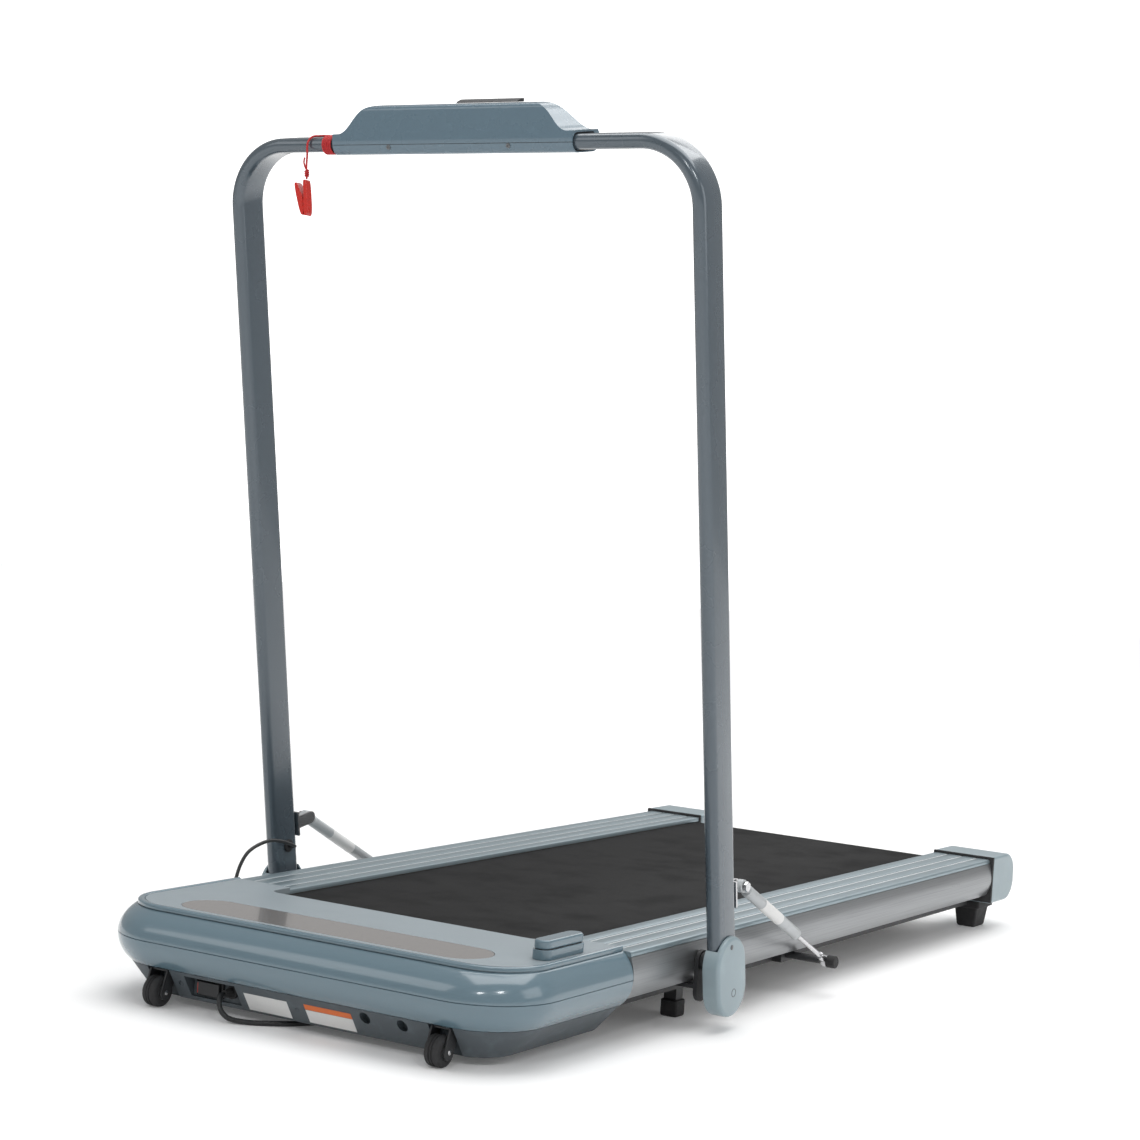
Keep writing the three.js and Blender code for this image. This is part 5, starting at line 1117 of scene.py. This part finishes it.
for side, word in ((-1, "left"), (1, "right")):
    body = lathe(
        [
            (6.0, 4.4), (15.2, 4.4), (15.6, 6.6), (17.0, 7.5), (175.2, 7.5), (176.6, 6.8), (177, 5.4),
            (177, 3.3),
        ],
    )
    parts = spring_parts(side, [body, eye(0, 8, 4.2)])
    piece(
        f"spring_cylinder_{word}", parts, f"gas_cylinder_{word}", spring_paint,
        [f"gas_cylinder_{word}"],
    )
    label = turned_ring([(62, 7.45), (62, 7.72), (118, 7.72), (118, 7.45)], 40)
    piece(f"spring_label_{word}", spring_parts(side, [label]), f"gas_cylinder_{word}", paper)
    seal = lathe([(176.6, 4.0), (176.6, 6.2), (178.4, 5.8), (178.6, 3.3)])
    piece(
        f"spring_seal_{word}", spring_parts(side, [seal]), f"gas_cylinder_{word}", soft_rubber,
    )
    rod = lathe([(120, 3.0), (262, 3.0), (262.4, 2.6)])
    piece(
        f"spring_rod_{word}", spring_parts(side, [rod]), f"gas_rod_{word}", bright,
        [f"gas_rod_{word}"],
    )
    far = SPRING_LENGTH
    neck = lathe([(far - 22, 4.0), (far - 21.6, 4.6), (far - 8, 4.6), (far - 5, 3.6)])
    cap_x = np.array([(2.6, 7.6), (3.4, 8.0), (14.0, 8.0), (14.9, 7.2), (15.0, 0.6)]) * [side, 1]
    cap = moved(lathe(cap_x, 32), lambda p: p[:, [1, 0, 2]] + [far, 0, 0])
    end = spring_parts(side, [neck, eye(far, 7.4, 4.2)])
    piece(f"spring_eye_{word}", end, f"gas_rod_{word}", bright, sharp=40)
    piece(f"spring_cap_{word}", spring_parts(side, [cap]), f"gas_rod_{word}", soft_rubber, sharp=40)
    dress(f"spring_bracket_{word}", bright, 0.5)
    nut_x = np.array([(5.6, 3.0), (5.6, 6.4), (9.2, 6.4), (9.8, 5.6), (9.9, 0.5)]) * [side, 1]
    nut = moved(lathe(nut_x, 6), lambda p: p[:, [1, 0, 2]])
    piece(f"spring_nut_{word}", spring_parts(side, [nut]), "handle", bright, bevel=0.3, steps=2)

# ------------------------------------------------------------------ console
# Two glossy blue-grey shells clamp the crossbar and meet on its middle line. The sloping
# back carries a dark display, two keys and the safety key; a rest lies along the top.


def bend_line(points, steps=14):
    """A Bezier curve through its end points, drawn by its control points."""
    p = np.array(points, float)[:, None]
    t = np.linspace(0, 1, steps)[None, :, None]
    while len(p) > 1:
        p = p[:-1] * (1 - t) + p[1:] * t
    return p[0]


CONSOLE_HALF, TOP, LOW, BOTTOM = 171, 46.0, 13.0, -12.5
hump = bend_line([(163, LOW), (143.5, LOW + 2), (141.5, TOP - 1), (112, TOP)], 28)
base_line = [(-CONSOLE_HALF, BOTTOM), (CONSOLE_HALF, BOTTOM), (CONSOLE_HALF, LOW)]
front_loop = np.concatenate([base_line, hump, (hump * [-1, 1])[::-1], [(-CONSOLE_HALF, LOW)]])
side_loop = np.concatenate(
    [
        bend_line([(17, BOTTOM), (31.5, -11.8), (34, 3), (34.0, 5.0)], 12),
        bend_line([(34.0, 5.0), (33.8, 7), (32.8, 8.0)], 5),
        bend_line([(10, 43.6), (7.5, TOP), (4, TOP)], 7),
        bend_line([(-10, TOP), (-22.5, TOP), (-23.5, 40)], 10),
        bend_line([(-28.5, 6), (-28.5, -12.5), (-17, BOTTOM)], 16),
    ]
)
console_paint = Paint("console_blue_abs", (0.09, 0.145, 0.185), 0.28, Coat_Weight=0.5, Coat_Roughness=0.12)
console_paint.uneven((0.25, 0.05, 40.0, 4.0), (0.00003, 900.0, 2.0), (1.12, 0.55, 0.8, 2300.0, 2.0))
FACE_SPOT, FACE_BACK, FACE_UP = np.array([0, 21, 26]), 0.545, 0.838


def on_face(points):
    """From the display face's axes: along the bar, up the face, out of it."""
    p = np.asarray(points, float)
    y = -FACE_BACK * p[..., 1] + FACE_UP * p[..., 2]
    z = FACE_UP * p[..., 1] + FACE_BACK * p[..., 2]
    return on_bar(np.stack([p[..., 0], y, z], -1) + FACE_SPOT)


# on the display face: place along the bar, width, height and the room round it
DISPLAY, START_KEY, SPEED_KEY, KEY_X = (0, 118, 34, 0.4), (82, 22, 16, 0.6), (-84, 20, 26, 0.6), -118


def face_plate(spot, low, top, pocket=False):
    """A round-cornered plate on the middle line of the display face, or the pocket round it."""
    x, wide, high, room = spot
    grow = room if pocket else 0
    half_x, half_y = wide / 2 + grow, high / 2 + grow
    return moved(block(x - half_x, x + half_x, -half_y, half_y, low, top, 4 + grow), on_face)


tunnel = moved(prism(oval_section(TUBE_DEPTH + 4.5, TUBE_THICK + 3.6, 16), "x", -180, 180), on_bar)
body_front = moved(prism(front_loop, "y", -40, 50), on_bar)
for name, low, high, node in (
    ("console_top", 0.35, 80, "console_upper"), ("console_base", -80, -0.35, "console_lower")
):
    whole_body = moved(prism(side_loop, "x", -CONSOLE_HALF, CONSOLE_HALF), on_bar)
    shell = piece(name, [whole_body], "handle", console_paint, [node], bevel=1.1, steps=3)
    half = moved(block(-300, 300, -100, 100, low, high), on_bar)
    carve(shell, body_front, half, operation="INTERSECT")
    carve(shell, tunnel)
    if low > 0:
        carve(
            shell,
            face_plate(DISPLAY, -2.2, 6, pocket=True),
            face_plate(START_KEY, -9, 6, pocket=True),
            face_plate(SPEED_KEY, -9, 6, pocket=True),
            moved(prism(pill(4.4, 0.01), "z", -8, 6), lambda p: on_face(p + [KEY_X, 0, 0])),
        )
for side in (-1, 1):
    ring = prism(oval_section(TUBE_DEPTH + 4.9, TUBE_THICK + 4.0, 16), "x", 158, 169.6)
    sleeve_end = piece(
        f"bar_sleeve_{side + 2}", [moved(ring, lambda p: on_bar(p * [side, 1, 1]))], "handle", soft_rubber,
        bevel=0.4, steps=2,
    )
    sleeve_bore = prism(oval_section(TUBE_DEPTH + 0.2, TUBE_THICK + 0.2, 16), "x", -175, 175)
    carve(sleeve_end, moved(sleeve_bore, on_bar))
glass = Paint("display_glass", (0.008, 0.009, 0.011), 0.07, Coat_Weight=0.6, Coat_Roughness=0.03)
glass.set("Roughness", 0.06 + glass.noise(90.0, 5.0).ramp(0.5, 0.8) * 0.09)
glass.bump(glass.noise(40.0, 2.0), 0.00001)
piece(
    "display", [face_plate(DISPLAY, -1.8, 0.6)], "handle", glass,
    ["console_display"], bevel=0.4,
)
piece(
    "start_button", [face_plate(START_KEY, -4, 2.4)], "start_key", red_plastic,
    ["start_key"], bevel=0.9,
)
piece(
    "speed_button", [face_plate(SPEED_KEY, -4, 2.4)], "speed_key", glossy_black,
    ["speed_key"], bevel=0.9,
)
for up in (-1, 1):
    arrow = [(-4.2, 3.4 * up), (4.2, 3.4 * up), (0, 9.4 * up)][::up]
    mark = moved(prism(arrow, "z", 2.2, 2.62), lambda p: on_face(p + [SPEED_KEY[0], 0, 0]))
    piece(f"speed_mark_{up + 2}", [mark], "speed_key", paper)
knob = lathe(
    [
        (-3.2, 3.9), (0.3, 3.9), (0.4, 7.6), (0.8, 8.0), (5.6, 8.0), (6.6, 7.4), (7.0, 6.4), (6.7, 5.2),
        (6.6, 0.5),
    ],
    40,
)
piece(
    "safety_key_knob", [moved(knob, lambda p: on_face(p[:, [1, 2, 0]] + [KEY_X, 0, 0]))], "safety_key",
    red_plastic, ["safety_key"],
)
rest_loop = [(-9.6, 0.4), (6.8, 0.4), (7.6, 3.8), (6.2, 4.7), (1, 4.5), (-5.8, 2.7)]
piece(
    "tablet_rest", [moved(prism(rest_loop, "x", -1, 85), lambda p: on_bar(p + [0, 0, TOP]))], "handle",
    black_plastic, ["device_rest"], bevel=0.6,
)
for x in (-88, 83):
    head = lathe([(-28.0, 0.4), (-28.9, 1.0), (-29.0, 2.4), (-28.4, 2.9), (-26.0, 2.9)], 24)
    piece(
        f"console_screw_{x + 100}", [moved(head, lambda p: on_bar(p[:, [1, 0, 2]] + [x, 0, -3.2]))],
        "handle", hub_grey,
    )

# ------------------------------------------------------------------ peg clip
# A red two-legged peg on the lanyard's free end, its legs pinched together at the foot.


def softened(loop):
    """A closed outline with its corners cut twice, a quarter off each side of every corner."""
    p = np.asarray(loop, float)
    for _ in range(2):
        after = np.roll(p, -1, axis=0)
        p = np.stack([0.75 * p + 0.25 * after, 0.25 * p + 0.75 * after], 1).reshape(-1, 2)
    return p


clip_top = on_bar([[-207.6, -35.1, -42.0]])[0]
grip = [
    (-2.4, -1), (-0.5, 1.2), (2.0, 0.2), (5, -16), (7.8, -38), (6, -43.4), (2.2, -41.8), (0.5, -31),
    (0.2, -20),
]
jaw = [
    (-15.8, -4), (-12.5, -2.1), (-10.4, -4), (-0.3, -22), (0.0, -30), (1.7, -41.2), (-1.0, -42.8),
    (-5.6, -35),
]
hang = lambda p: p + clip_top
for name, loop, body, node in (
    ("clip_fixed_leg", grip, "handle", "lanyard_clip"),
    ("clip_moving_leg", jaw, "clip_jaw", "clip_jaw"),
):
    leg = prism(softened(loop), "y", -5.4, 5.4)
    piece(name, [moved(leg, hang)], body, red_plastic, [node], bevel=0.9)
(on_bar([string_in[0]])[0] * MM).tolist()
